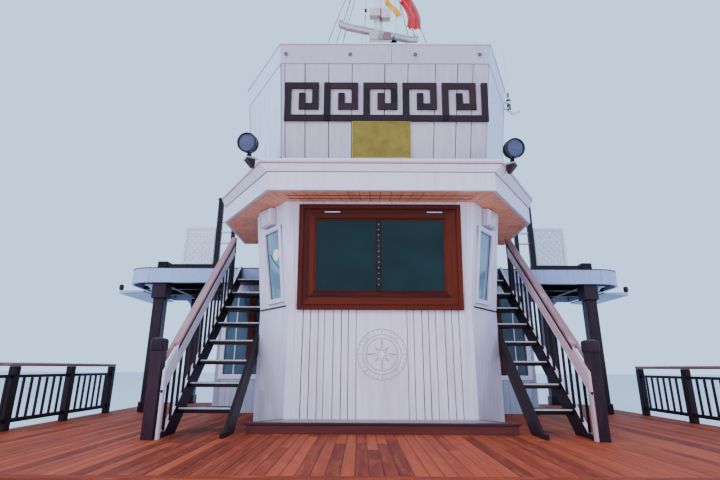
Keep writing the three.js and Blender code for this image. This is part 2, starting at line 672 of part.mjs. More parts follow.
function roofDeck() {
  const { low, top, plank, board } = ROOF_DECK;
  const body = slab(deckCornerLine(0).reverse(), low, top);
  const inside = slab(deckCornerLine(board).reverse(), low - 50, top - plank);
  const parts = [cut(body, inside)];
  for (const x of [-ROOF_POST.x, -SALOON.half + 30, -1000, 1000, SALOON.half - 30, ROOF_POST.x]) {
    parts.push(block(x - 40, x + 40, ROOF_DECK.fore + 20, DECK.aft - 20, low, top - plank + 5));
  }
  // The foremost beam ends inside the round corners
  for (const [y, reach] of [[SALOON.fore + 28, 330], [2980, 20], [SALOON.aft - 28, 20]]) {
    const half = ROOF_DECK.half - reach;
    parts.push(block(-half, half, y - 40, y + 40, low, top - plank + 5));
  }
  for (const x of [-ROOF_POST.x, ROOF_POST.x]) {
    const h = ROOF_POST.wide / 2;
    parts.push(block(x - h, x + h, ROOF_POST.y - h, ROOF_POST.y + h, top - 5, ROOF_POST.stub));
  }
  for (const side of [-1, 1]) {
    const x = [side * (ROOF_DECK.half - 5), side * GUTTER.half].sort((a, b) => a - b);
    parts.push(block(x[0], x[1], GUTTER.fore, DECK.aft, GUTTER.low + 40, GUTTER.low + 70));
    const lip = [side * GUTTER.half, side * (GUTTER.half - 50)].sort((a, b) => a - b);
    parts.push(block(lip[0], lip[1], GUTTER.fore, DECK.aft, GUTTER.low, GUTTER.low + GUTTER.deep));
    const hung = [side * (ROOF_DECK.half - 45), side * ROOF_DECK.half].sort((a, b) => a - b);
    parts.push(block(hung[0], hung[1], GUTTER.fore, DECK.aft, GUTTER.low + 40, low + 20));
  }
  return join(...parts);
}

// A post under the roof deck with a square capital and a curved knee outboard of it
function roofPost(y) {
  const { x, wide, capital, capitalLow, knee } = ROOF_POST;
  const h = wide / 2;
  const low = ROOF_DECK.low - GAP;
  const square = (half, z0, z1) => block(x - half, x + half, y - half, y + half, z0, z1);
  const outline = [[h, low], [knee, low], [knee, low - 25]];
  for (let i = 0; i <= 6; i++) {
    const angle = (i / 6) * (Math.PI / 2);
    outline.push([knee - 170 * Math.sin(angle), low - 285 + 260 * Math.cos(angle)]);
  }
  outline.push([knee - 185, low - 310], [h, low - 310]);
  const brace = extruded(outline.reverse(), 50, basis(AX, AZ, AY.clone().negate(), vector(x, y + 25, 0)));
  return join(square(h, GAP, low), square(h + 25, GAP, 180), square(capital / 2, capitalLow, low), brace);
}

// Terrace screens: a framed lattice, and dark posts with a tube rail beside it
function latticeScreen() {
  const x0 = 3160;
  const x1 = 3750;
  const y = 2290;
  const z0 = ROOF_DECK.top + GAP;
  const z1 = 3460;
  const holes = [];
  const cell = { wide: 120, high: 128, bar: 24 };
  for (let row = 0; row < 6; row++) {
    for (let column = 0; column < 4; column++) {
      const cx = x0 + 55 + cell.wide * (column + 0.5);
      const cz = z0 + 45 + cell.high * (row + 0.5);
      const w = (cell.wide - cell.bar) / 2;
      const h = (cell.high - cell.bar) / 2;
      holes.push([[cx - w, cz], [cx, cz - h], [cx + w, cz], [cx, cz + h]]);
    }
  }
  const place = basis(AX, AZ, AY.clone().negate(), vector(0, y + 13, 0));
  return extruded(rectangle(x0, x1, z0, z1), 26, place, holes);
}

function terracePost() {
  const z0 = ROOF_DECK.top + GAP;
  const x = 3080;
  const y = 2260;
  const parts = [
    block(x - 48, x + 48, y - 48, y + 48, z0, 4060),
    block(x - 60, x + 60, y - 60, y + 60, 4010, 4035),
    block(2760, 2830, 2225, 2295, z0, 3720),
    rod(vector(2795, y, 3560), vector(x, y, 3560), 21, 10),
    rod(vector(2795, y, 3130), vector(x, y, 3130), 21, 10),
  ];
  return join(...parts);
}

// Deck rail on the ship's side: top rail, foot rail, posts and balusters
function sideRail() {
  const { x, top, fore, aft } = SIDE_RAIL;
  const parts = [
    block(x - 55, x + 55, fore, aft, top - 45, top),
    block(x - 30, x + 30, fore, aft, 90, 140),
    block(x - 22, x + 22, fore, aft, top - 190, top - 150),
  ];
  const posts = 5;
  for (let i = 0; i < posts; i++) {
    const y = fore + 50 + (i * (aft - fore - 100)) / (posts - 1);
    parts.push(block(x - 48, x + 48, y - 48, y + 48, GAP, top - 20));
  }
  const pitch = 152;
  for (let y = fore + pitch; y < aft - 60; y += pitch) {
    parts.push(block(x - 14, x + 14, y - 14, y + 14, 130, top - 170));
  }
  return join(...parts);
}

// Saloon shell behind the stairs, open to the wheelhouse, with a door in its rear wall
const SALOON_LIGHT = { x0: 1985, x1: 2785, low: 620, high: 2120 };

function saloonWalls() {
  const { half, fore, aft, board } = SALOON;
  const top = ROOF_DECK.low - GAP;
  const open = WALL_FOOT.halfSide - WALL.board;
  const outside = block(-half, half, fore, aft, GAP, top);
  const inside = block(-half + board, half - board, fore + board, aft - board, -10, top + 10);
  const throat = block(-open, open, fore - 10, fore + board + 10, -10, top + 10);
  const doorHalf = DOOR.wide / 2 + DOOR.clear;
  const doorway = block(-doorHalf, doorHalf, aft - board - 10, aft + 10, -10, DOOR.high + DOOR.clear);
  const tools = [inside, throat, doorway];
  for (const side of [-1, 1]) {
    const { x0, x1, low, high } = SALOON_LIGHT;
    const [a, b] = [side * x0, side * x1].sort((p, q) => p - q);
    tools.push(block(a, b, fore - 10, fore + board + 10, low, high));
    const wall = [side * (half - board - 10), side * (half + 10)].sort((p, q) => p - q);
    tools.push(block(wall[0], wall[1], fore + 350, aft - 350, 900, 1950));
    const pane = [side * 900, side * 2300].sort((p, q) => p - q);
    tools.push(block(pane[0], pane[1], aft - board - 10, aft + 10, 900, 1950));
  }
  return cut(outside, ...tools);
}

function saloonGlass() {
  const { x0, x1, low, high } = SALOON_LIGHT;
  const y = SALOON.fore + 20;
  return block(x0 + GAP, x1 - GAP, y, y + 8, low + GAP, high - GAP);
}

function backDoor() {
  const { wide, high, thick, sill } = DOOR;
  const y = SALOON.aft - thick;
  const leaf = block(-wide / 2, wide / 2, y, y + thick, sill, high);
  const light = block(-wide / 2 + 150, wide / 2 - 150, y - 5, y + thick + 5, 1000, 1760);
  const latch = vector(-wide / 2 + 70, y - 20, 1000);
  const knob = rod(latch, latch.clone().setY(y + thick + 45), 14, 10);
  return join(cut(leaf, light), knob);
}

// Helm: a desk under the front window and a spoked wheel on its aft side
function helmDesk() {
  const profile = [[420, GAP], [900, GAP], [900, 840], [980, 1010], [980, 1060], [420, 1160]];
  const boss = rod(vector(0, 900, WHEEL.z), vector(0, WHEEL.y - 51, WHEEL.z), 42, 14);
  return join(sidePlate(profile, -900, 900), boss);
}

function helmWheel() {
  const rim = new THREE.TorusGeometry(WHEEL.r - 40, 17, 8, 28).rotateX(Math.PI / 2);
  const parts = [rim, rod(vector(0, -45, 0), vector(0, 45, 0), 55, 14)];
  const spokes = 6;
  for (let i = 0; i < spokes; i++) {
    const angle = (i / spokes) * Math.PI * 2;
    const way = vector(Math.cos(angle), 0, Math.sin(angle));
    parts.push(rod(way.clone().multiplyScalar(20), way.clone().multiplyScalar(WHEEL.r + 45), 12, 8));
  }
  return join(...parts.map((g) => g.translate(0, WHEEL.y, WHEEL.z)));
}

// The assembly
const house = new THREE.Group();

function add(name, geometry, material) {
  const mesh = new THREE.Mesh(geometry, material);
  mesh.name = name;
  house.add(mesh);
  return mesh;
}

// The port piece, and its mirror image on the starboard side, raised where that one stands higher
function addPair(name, geometry, material, rise = 0) {
  add(name + "_port", geometry, material);
  const mirrored = add(name + "_stbd", geometry, material);
  mirrored.scale.x = -1;
  mirrored.position.z = rise;
}

// Two pieces that differ: make takes the side's own value, or 1 for port and -1 for starboard
function addBoth(name, make, material, values = { port: 1, stbd: -1 }) {
  add(name + "_port", make(values.port), material);
  add(name + "_stbd", make(values.stbd), material).scale.x = -1;
}

add("deck_frame", deckFrame(), darkWood);
add("deck_planking", deckPlanking(), deckWood);
add("front_step", frontStep(), stepWood);
add("wall_front", wallFront(), whitePaint);
addPair("wall_canted", wallCanted(), whitePaint);
addPair("wall_side", wallSide(), whitePaint);
add("wall_back_upper", backTransom(), whitePaint);
add("front_window_frame", frontWindowFrame(), varnish);
add("front_glass", frontGlassSheet(), windowGlass);
addPair("side_light_frame", sideLightFrame(), whitePaint);
addPair("side_light_glass", sideLightGlass(), paleGlass);
addPair("flood_lamp", floodLamp(), whitePaint);
add("soffit", soffit(), whitePaint);
add("eave_roof", eaveRoof(), whitePaint);
add("screen_front", screenSide("front", 1), whitePaint);
addBoth("screen_canted", (hand) => screenSide("canted", hand), whitePaint);
addBoth("screen_side", (hand) => screenSide("side", hand), whitePaint);
add("mast", mast(), whitePaint);
add("mast_stays", mastStays(), lampMetal);
add("radar_pedestal", radarPedestal(), radarPaint);
add("radar_scanner", radarScanner(), radarPaint);
const yellowFlag = { x: MAST.x + 140, top: 8420, long: 700, high: 260, band: 120, from: 0.85, to: 1.2 };
const redFlag = { x: MAST.x + 465, top: 8650, long: 1300, high: 400, band: 280, from: 0.75, to: 1.75 };
add("flag_yellow", flag(yellowFlag), yellowCloth);
add("flag_red", flag(redFlag), redCloth);
addPair("searchlight_base", lampBase(), lampMetal, LAMP.stbdRise);
addPair("searchlight_fork", lampFork(), lampMetal, LAMP.stbdRise);
addPair("searchlight_head", lampHead(), chrome, LAMP.stbdRise);
add("whip_aerial", whipAerial(), radarPaint);
addBoth("stair", stair, darkWood, STAIR_OUTER);
addBoth("stair_rail", stairRail, railWood, STAIR_OUTER);
addBoth("newel", newel, darkWood, NEWEL_X);
add("roof_deck", roofDeck(), whitePaint);
addPair("roof_post", roofPost(ROOF_POST.y), darkWood);
addPair("aft_post", roofPost(AFT_POST_Y), darkWood);
addPair("lattice_screen", latticeScreen(), whitePaint);
addPair("terrace_post", terracePost(), darkWood);
addPair("side_rail", sideRail(), darkWood);
add("saloon_walls", saloonWalls(), whitePaint);
addPair("saloon_glass", saloonGlass(), paleGlass);
add("back_door", backDoor(), varnish);
add("helm_desk", helmDesk(), varnish);
add("helm_wheel", helmWheel(), varnish);

// House coordinates to the centre of the part's foot
house.position.set(0, -(DECK.fore + DECK.aft) / 2, DECK.planks + GAP + BEAM.deep);
const root = new THREE.Group();
root.add(house);
export default root;
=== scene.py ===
import math

import bmesh
import bpy
import numpy as np
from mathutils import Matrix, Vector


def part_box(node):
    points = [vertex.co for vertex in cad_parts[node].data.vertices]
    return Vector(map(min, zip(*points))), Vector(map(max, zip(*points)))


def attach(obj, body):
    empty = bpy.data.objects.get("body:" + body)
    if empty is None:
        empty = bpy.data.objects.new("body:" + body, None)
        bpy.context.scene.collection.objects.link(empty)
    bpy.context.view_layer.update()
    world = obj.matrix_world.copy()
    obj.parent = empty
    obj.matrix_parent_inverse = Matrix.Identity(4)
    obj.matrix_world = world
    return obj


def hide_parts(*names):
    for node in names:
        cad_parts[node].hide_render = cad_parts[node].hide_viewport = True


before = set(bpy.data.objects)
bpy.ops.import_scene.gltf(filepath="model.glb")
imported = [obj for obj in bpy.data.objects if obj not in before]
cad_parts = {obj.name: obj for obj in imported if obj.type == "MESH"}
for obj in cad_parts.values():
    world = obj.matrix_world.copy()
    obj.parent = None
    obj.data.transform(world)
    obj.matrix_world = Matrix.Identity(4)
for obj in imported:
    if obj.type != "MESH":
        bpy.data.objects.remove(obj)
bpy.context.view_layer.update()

# Camera: a wide lens low over the deck, looking up at the wheelhouse. House coordinates have X to port, Y aft
# from the foot of the front wall, and Z up from the top of the deck planks, in metres. HOME is their zero in
# the frame.
GAP = 0.0003  # a hairline left between pieces that meet
HOME = np.array([0.0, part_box("front_step")[1].y + GAP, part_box("deck_planking")[1].z])
PITCH, ROLL = math.radians(15.88), math.radians(-0.25)


def in_scene(name, data):
    """A new object of some data, linked to the scene."""
    made = bpy.data.objects.new(name, data)
    bpy.context.scene.collection.objects.link(made)
    return made


lens = bpy.data.cameras.new("camera")
lens.lens = 22.5
lens.sensor_width = 36
lens.clip_end = 200
camera = in_scene("camera", lens)
camera.location = HOME + [-0.276, -6.27, 0.77]
camera.rotation_euler = (math.pi / 2 + PITCH, ROLL, 0)
bpy.context.scene.camera = camera

# Deck strip: red-brown hardwood planks laid fore and aft on dark beams, with black caulking between them and
# a covering board round the edge. Planks are long boards with eased arrises, butted at places that differ.
chance = np.random.default_rng(11)


def unit(v):
    """Vectors scaled to length 1."""
    v = np.asarray(v, float)
    return v / np.linalg.norm(v, axis=-1, keepdims=True)


def shell(rings, grain=None, closed=True):
    """Faces through rings of points, (parts, rings, points, 3), with a flat cap on the first and last ring.

    The grain of a point is its place along, across and through its own board. Each part has a random tone."""
    rings = np.asarray(rings, float)
    parts, count, points, _ = rings.shape
    index = np.arange(parts * count * points).reshape(parts, count, points)
    here = index if closed else index[:, :, :-1]
    there = np.roll(index, -1, axis=2) if closed else index[:, :, 1:]
    faces = [np.stack([here[:, :-1], there[:, :-1], there[:, 1:], here[:, 1:]], -1).reshape(-1, 4)]
    if closed:
        faces += [index[:, 0, ::-1], index[:, -1]]
    if grain is None:
        grain = rings
    tone = np.repeat(chance.random(parts), count * points)
    return rings.reshape(-1, 3), np.asarray(grain, float).reshape(-1, 3), tone, faces


# Corners of a chamfered rectangle: which side it is on, and which of the two coordinates is pulled in
CHAMFERED = np.array([[-1, 1, -1, 0], [1, 1, -1, 0], [1, 0, -1, 1], [1, 0, 1, 1],
                      [1, 1, 1, 0], [-1, 1, 1, 0], [-1, 0, 1, 1], [-1, 0, -1, 1]], float)


def boards(path, across, wide, thick, arris=0.004, out=None):
    """Boards with eased arrises along paths of points, (boards, stations, 3), which run down their middles.

    A section is a rectangle, wide along across and thick square to it, less a chamfer; the end sections are
    smaller by the chamfer too."""
    path = np.asarray(path, float)
    parts, stations, _ = path.shape
    across = np.broadcast_to(unit(across), path.shape)
    step = np.diff(path, axis=1)
    way = unit(np.concatenate([step[:, :1], step[:, :-1] + step[:, 1:], step[:, -1:]], 1))
    through = unit(np.cross(way, across)) if out is None else np.broadcast_to(unit(out), path.shape)
    length = np.concatenate([np.zeros((parts, 1)), np.cumsum(np.linalg.norm(step, axis=2), 1)], 1)
    wide, thick = (np.broadcast_to(np.asarray(size, float), (parts, stations)) for size in (wide, thick))

    def ends(values):
        return np.concatenate([values[:, :1], values, values[:, -1:]], 1)

    middle = ends(path).copy()
    middle[:, 1] += way[:, 0] * arris
    middle[:, -2] -= way[:, -1] * arris
    run = ends(length).copy()
    run[:, 1] += arris
    run[:, -2] -= arris
    pulled = np.zeros((1, stations + 2, 1))
    pulled[:, [0, -1]] = arris
    side, pull, face, lift = CHAMFERED.T
    x = side * (ends(wide)[..., None] / 2 - pull * arris - pulled)
    y = face * (ends(thick)[..., None] / 2 - lift * arris - pulled)
    rings = middle[:, :, None] + x[..., None] * ends(across)[:, :, None] + y[..., None] * ends(through)[:, :,
                                                                                                        None]
    grain = np.stack([np.broadcast_to(run[..., None], x.shape), x, y], -1) + chance.random((parts, 1, 1,
                                                                                            3)) * 20
    return shell(rings, grain)


def beams(x, y, z, arris=0.004, along=None):
    """Square-edged timbers: x, y and z are (low, high), each a number or one for each timber.

    A timber's grain runs along its longest side, or along the axis named."""
    low, high = (np.stack(np.broadcast_arrays(x[i], y[i], z[i], np.zeros(1))[:3], -1).astype(float)
                 for i in (0, 1))
    low, high = np.broadcast_arrays(np.minimum(low, high), np.maximum(low, high))
    size = high - low
    axis = int(np.argmax(size.mean(0))) if along is None else along
    cross = (axis + 1) % 3
    middle = (low + high) / 2
    start, end = middle.copy(), middle.copy()
    start[:, axis], end[:, axis] = low[:, axis], high[:, axis]
    across = np.eye(3)[cross]
    other = 3 - axis - cross
    return boards(np.stack([start, end], 1), across, size[:, cross, None], size[:, other, None], arris)


def about(middle, half):
    """The two ends of a width, from its middle."""
    return middle - half, middle + half


def piece(name, shells, finish, body="house", stands_for=(), slot=None, sharp=30):
    """One object of the shells, placed in the frame, that rides on a body and stands for its CAD nodes."""
    points = np.concatenate([s[0] for s in shells]) + HOME
    starts = np.cumsum([0] + [len(s[0]) for s in shells])
    faces = [face for s, first in zip(shells, starts) for f in s[3] for face in (f + first).tolist()]
    mesh = bpy.data.meshes.new(name)
    mesh.from_pydata(points.tolist(), [], faces)
    grain = mesh.attributes.new("grain", "FLOAT_VECTOR", "POINT")
    grain.data.foreach_set("vector", np.concatenate([s[1] for s in shells]).astype(np.float32).ravel())
    tone = mesh.attributes.new("tone", "FLOAT", "POINT")
    tone.data.foreach_set("value", np.concatenate([s[2] for s in shells]).astype(np.float32))
    work = bmesh.new()
    work.from_mesh(mesh)
    bmesh.ops.recalc_face_normals(work, faces=work.faces)
    work.to_mesh(mesh)
    work.free()
    mesh.shade_smooth()
    mesh.set_sharp_from_angle(angle=math.radians(sharp))
    mesh.materials.append(finish)
    made = in_scene(name, mesh)
    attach(made, body)
    if stands_for:
        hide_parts(*stands_for)
    return made


class Field:
    """A value in a material. Arithmetic on it adds Math nodes, and node() adds any other node."""

    def __init__(self, tree, socket=None):
        self.tree = tree
        self.socket = socket

    def node(self, kind, settings=None, inputs=None, output=0):
        made = self.tree.nodes.new("ShaderNode" + kind)
        for key, value in (settings or {}).items():
            setattr(made, key, value)
        for key, value in (inputs or {}).items():
            if isinstance(value, Field):
                self.tree.links.new(value.socket, made.inputs[key])
            else:
                made.inputs[key].default_value = value
        return Field(self.tree, made.outputs[output])

    def sum(self, operation, first, second=0.0):
        return self.node("Math", {"operation": operation}, {0: first, 1: second})

    def __add__(self, other):
        return self.sum("ADD", self, other)

    def __sub__(self, other):
        return self.sum("SUBTRACT", self, other)

    def __mul__(self, other):
        return self.sum("MULTIPLY", self, other)

    def __rsub__(self, other):
        return self.sum("SUBTRACT", other, self)

    __radd__, __rmul__ = __add__, __mul__

    def grain(self):
        """The place along, across and through a point's own board."""
        return self.node("Attribute", {"attribute_name": "grain"}, output=1)

    def tone(self):
        """The random number of a point's own board."""
        return self.node("Attribute", {"attribute_name": "tone"}, output=2)

    def place(self):
        """The place in the object's own coordinates."""
        return self.node("TexCoord", output=3)

    def scaled(self, x, y, z):
        """This vector with each part times a number."""
        return self.node("VectorMath", {"operation": "MULTIPLY"}, {0: self, 1: (x, y, z)})

    def noise(self, scale, detail=3.0, rough=0.55):
        """Smooth noise between 0 and 1 at this place."""
        return self.node("TexNoise", None, {"Vector": self, "Scale": scale, "Detail": detail,
                                            "Roughness": rough})

    def between(self, low, high):
        """0 up to low, 1 from high, and a straight line between."""
        return self.node("MapRange", None, {0: self, 1: low, 2: high})

    def mix(self, first, second):
        """The first colour, (r, g, b), where this is 0 and the second where it is 1, each also a colour
        field."""
        first, second = (c if isinstance(c, Field) else (*c, 1) for c in (first, second))
        return self.node("Mix", {"data_type": "RGBA"}, {0: self, 6: first, 7: second}, 2)


def finish_of(name, slot, paint, **fixed):
    """A material: paint(field) gives the varying inputs, fixed the shader's constant ones. The slot argument
    is not used.
    """
    made = bpy.data.materials.new(name)
    made.use_nodes = True
    tree = made.node_tree
    shader = tree.nodes["Principled BSDF"]
    for key, value in fixed.items():
        shader.inputs[key.replace("_", " ")].default_value = value
    inputs = paint(Field(tree))
    if "bump" in inputs:
        height, depth = inputs.pop("bump")
        bump = Field(tree).node("Bump", None, {"Height": height, "Distance": depth, "Strength": 1.0})
        tree.links.new(bump.socket, shader.inputs["Normal"])
    for key, value in inputs.items():
        tree.links.new(value.socket, shader.inputs[key.replace("_", " ")])
    return made


def timber(name, slot, light, dark, rough=0.5, coat=0.0, wear=None, bump=0.0006, **fixed):
    """Wood: grain as noise drawn out along the board, with the board's own tone, and wear as a third
    colour."""

    def paint(f):
        grain = f.grain()
        fibre = grain.scaled(3, 90, 90).noise(1.0, 4.0)
        figure = grain.scaled(0.8, 14, 14).noise(1.0)
        depth = (fibre * 0.45 + figure * 0.55 + f.tone() * 0.5 - 0.25).between(0.25, 0.75)
        colour = depth.mix(light, dark)
        worn = grain.scaled(1.5, 6, 6).noise(2.0, 5.0, 0.65)
        if wear:
            colour = (worn.between(0.52, 0.72) * wear[3]).mix(colour, wear[:3])
        return {"Base_Color": colour, "Roughness": worn * 0.35 + (rough - 0.17), "bump": (fibre, bump)}

    return finish_of(name, slot, paint, Coat_Weight=coat, Coat_Roughness=0.12, **fixed)


DECK_LOW, DECK_HIGH = [np.array(corner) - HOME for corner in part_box("deck_planking")]
PLANK, CAULK, COVER, BEAM = 0.112, 0.006, 0.12, 0.12

deck_wood = timber("oiled_deck_wood", "deck_wood", (0.34, 0.066, 0.027), (0.13, 0.021, 0.009), 0.65,
                   wear=(0.46, 0.135, 0.070, 0.4), Specular_IOR_Level=0.1)
dark_wood = timber("dark_stained_wood", "dark_wood", (0.017, 0.008, 0.011), (0.005, 0.003, 0.004), 0.42,
                   wear=(0.055, 0.034, 0.038, 0.22), Specular_IOR_Level=0.16)


def caulking(f):
    """Near black, mixed by fine noise with a dark warm grey."""
    return {"Base_Color": f.place().noise(30.0).mix((0.010, 0.009, 0.009), (0.035, 0.03, 0.028))}


def deck():
    """Boards at the planks' pitch, cut at two random places each, inside four covering boards."""
    x0, y0, z0 = DECK_LOW
    x1, y1, z1 = DECK_HIGH
    middle = np.arange(x0 + COVER, x1 - COVER - 0.5 * PLANK, PLANK) + PLANK / 2
    fore, aft = y0 + COVER, y1 - COVER
    cuts = [np.full(len(middle), fore)]
    cuts += [fore + (aft - fore) * (least + 0.3 * chance.random(len(middle))) for least in (0.15, 0.6)]
    cuts.append(np.full(len(middle), aft))
    shells = [beams(about(middle, (PLANK - CAULK) / 2), (a + CAULK / 2, b - CAULK / 2), (z0, z1), 0.003,
                    along=1) for a, b in zip(cuts[:-1], cuts[1:])]
    shells += [beams((x0, x1), y, (z0, z1)) for y in ((y0, fore - CAULK), (aft + CAULK, y1))]
    shells += [beams(x, (fore, aft), (z0, z1)) for x in ((x0, x0 + COVER - CAULK), (x1 - COVER + CAULK, x1))]
    piece("deck_planks", shells, deck_wood, stands_for=["deck_planking"])
    seam = beams((x0 + 0.02, x1 - 0.02), (y0 + 0.02, y1 - 0.02), (z0 + 0.004, z1 - 0.005))
    piece("deck_caulking", [seam], finish_of("caulking", "lamp_metal", caulking, Roughness=0.7))


def deck_beams():
    """Boxes: four girders fore and aft, and beams across at a step of 0.91 m."""
    low = (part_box("deck_frame")[0].z - HOME[2], DECK_LOW[2] - GAP)
    third = DECK_HIGH[0] / 3
    x = np.array([DECK_LOW[0], -third, third - BEAM, DECK_HIGH[0] - BEAM])
    girders = beams((x, x + BEAM), (DECK_LOW[1], DECK_HIGH[1]), low, 0.006)
    y = np.append(np.arange(DECK_LOW[1], DECK_HIGH[1] - BEAM, 0.91), DECK_HIGH[1] - BEAM)
    across = beams((DECK_LOW[0] + 0.004, DECK_HIGH[0] - 0.004), (y + 0.003, y + BEAM - 0.003),
                   (low[0] + 0.004, low[1]), 0.006)
    piece("deck_beams", [girders, across], dark_wood, stands_for=["deck_frame"])


deck()
deck_beams()

# Wheelhouse walls: white painted planks, upright below the sill and leaning out above it, round a bay of
# three sides. They are nailed to a dark frame that shows as thin uneven seams, and a flat board covers each
# corner.
PORT, STBD = 1, -1
BAY_FOOT = {"front": (1.27, 0.0), "side": (1.80, 0.65)}
BAY_HEAD = {"front": (1.365, -0.141), "side": (1.925, 0.59)}
SILL, SOFFIT, FRONT_HIGH = 1.6, 3.09, 1.445
WALL_AFT = 2.2
WALL_BOARD, WALL_THICK, LINING = 0.022, 0.06, 0.015
WALL_LEAN = (BAY_HEAD["side"][0] - BAY_FOOT["side"][0]) / (SOFFIT - SILL)
ROOF_DECK_FORE, ROOF_DECK_LOW = 2.13, 2.315
PANEL = [0.5 + x / (2 * BAY_FOOT["front"][0]) for x in (-0.33, 0.37)]


def white_paint(name, colour=(0.60, 0.58, 0.74), grime=(0.38, 0.29, 0.37), rough=0.42, dirt=0.6):
    """Gloss paint on wood: brush marks along the board, a board's own tone, and rain streaks that run
    down."""

    def paint(f):
        tone, place = f.tone(), f.place()
        streak = place.scaled(16, 16, 1.1).noise(1.0, 4.0, 0.6)
        patch = place.noise(1.7, 4.0)
        brush = f.grain().scaled(3, 70, 70).noise(1.0)
        soiled = (streak * 0.65 + patch * 0.35 + tone * 0.12).between(0.52, 0.80) * dirt
        bare = tone.mix([c * 0.93 for c in colour], colour)
        return {"Base_Color": soiled.mix(bare, grime), "Roughness": brush * 0.2 + (rough - 0.1),
                "bump": (brush * 0.6 + patch * 0.4, 0.0008)}

    return finish_of(name, "white_paint", paint, Coat_Weight=0.15, Coat_Roughness=0.2)


def flat(name, slot, colour, rough=0.5, grit=12.0, depth=0.0002, darker=0.6, **fixed):
    """A plain coat or metal whose tone and gloss vary a little from place to place."""

    def paint(f):
        spot = f.place().noise(grit, 5.0, 0.6)
        shade = spot.between(0.35, 0.75).mix(colour, [c * darker for c in colour])
        return {"Base_Color": shade, "Roughness": spot * 0.3 + (rough - 0.15), "bump": (spot, depth)}

    return finish_of(name, slot, paint, **fixed)


wall_white = white_paint("wall_paint")
seam_dark = flat("seam_dark", "dark_wood", (0.02, 0.014, 0.013), 0.8, Specular_IOR_Level=0.2)


def moved(shells, by):
    """Shells shifted by a vector."""
    return [(s[0] + by, s[1], s[2], s[3]) for s in shells]


def mirrored(shells):
    """The same shells on the other side of the ship."""
    return [(s[0] * [-1, 1, 1], s[1], s[2], s[3]) for s in shells]


def pair(name, shells, finish, body=None, stands_for=(), rise=0.0, **more):
    """A piece to port and its mirror image to starboard, which may stand higher."""
    for side, made in (("_port", shells), ("_stbd", moved(mirrored(shells), [0, 0, rise]))):
        piece(name + side, made, finish, body + side if body else "house", [n + side for n in stands_for],
              **more)


def bay_face(low, high, side, z0, z1, aft=WALL_AFT):
    """Corners of one flat side of a bay from outside: foot left and right, head left and right."""
    rows = []
    for line, z in ((low, z0), (high, z1)):
        front, back = line["front"], line["side"]
        ends = {"front": [(-front[0], front[1]), front], "canted": [front, back],
                "side": [back, (back[0], aft)]}[side]
        rows.append([(x, y, z) for x, y in ends])
    return np.array(rows)


def cladding(face, edges, thick=WALL_BOARD, gap=0.004, low=0.0, high=1.0, set_back=0.0):
    """Upright planks on a flat face, between fractions of its width, from a low to a high fraction of its
    height."""
    edges = np.asarray(edges, float)
    count = len(edges) - 1
    middle = ((edges[:-1] + edges[1:]) / 2)[:, None]
    share = np.diff(edges)
    low, high = (np.broadcast_to(v, count).astype(float)[:, None] for v in (low, high))
    foot = face[0, 0] + (face[0, 1] - face[0, 0]) * middle
    head = face[1, 0] + (face[1, 1] - face[1, 0]) * middle
    width = np.linalg.norm(face[:, 1] - face[:, 0], axis=1)
    right = unit(face[0, 1] - face[0, 0])
    out = unit(np.cross(right, face[1, 0] - face[0, 0]))
    ends = [foot + (head - foot) * t for t in (low, high)]
    wide = [share * (width[0] + (width[1] - width[0]) * t[:, 0]) - gap for t in (low, high)]
    path = np.stack(ends, 1) - out * (thick / 2 + set_back)
    return boards(path, right, np.stack(wide, 1), thick, 0.0025, out)


def uneven(start, end, pitch):
    """Fractions that part a width from start to end into planks of about that pitch, each a little
    different."""
    count = max(1, round((end - start) / pitch))
    edges = np.linspace(start, end, count + 1)
    edges[1:-1] += (chance.random(count - 1) - 0.5) * 0.25 * (end - start) / count
    return edges


def backing(face, span, **more):
    """The dark frame behind a face's planks."""
    return cladding(face, span, 0.03, 0.0, set_back=0.006, **more)


def lining(face, edges, gap=0.002, **more):
    """The thin planks on the inside of a wall."""
    return cladding(face, edges, LINING, gap, set_back=WALL_THICK - LINING, **more)


def wall_faces(side):
    """The upright face below the sill, and the leaning one over it."""
    return (bay_face(BAY_FOOT, BAY_FOOT, side, 0.0, SILL - 0.003),
            bay_face(BAY_FOOT, BAY_HEAD, side, SILL + 0.003, SOFFIT))


def front_wall():
    """Cladding by fractions of the wall's width, beside the panel and round the window."""
    low, high = wall_faces("front")
    edges = np.concatenate([uneven(0.035, PANEL[0], 0.042), uneven(PANEL[1], 0.965, 0.042)])
    gap = 0.006 + 0.007 * chance.random(len(edges) - 1)
    over = (FRONT_HIGH - 0.02) / (SOFFIT - SILL)
    shells = [cladding(low, edges, gap=gap), cladding(high, [0.035, 0.095], gap=0.003),
              cladding(high, [0.905, 0.965], gap=0.003),
              cladding(high, uneven(0.095, 0.905, 0.06), low=over, gap=0.003)]
    dark = [backing(low, [0.01, 0.99]), backing(high, [0.01, 0.075]), backing(high, [0.925, 0.99]),
            backing(high, [0.01, 0.99], low=over)]
    shells += [lining(low, uneven(0.025, 0.975, 0.05)), lining(high, [0.03, 0.09]),
               lining(high, [0.91, 0.97]), lining(high, [0.03, 0.97], low=over)]
    piece("front_planks", shells, wall_white, stands_for=["wall_front"])
    piece("front_wall_frame", dark, seam_dark)


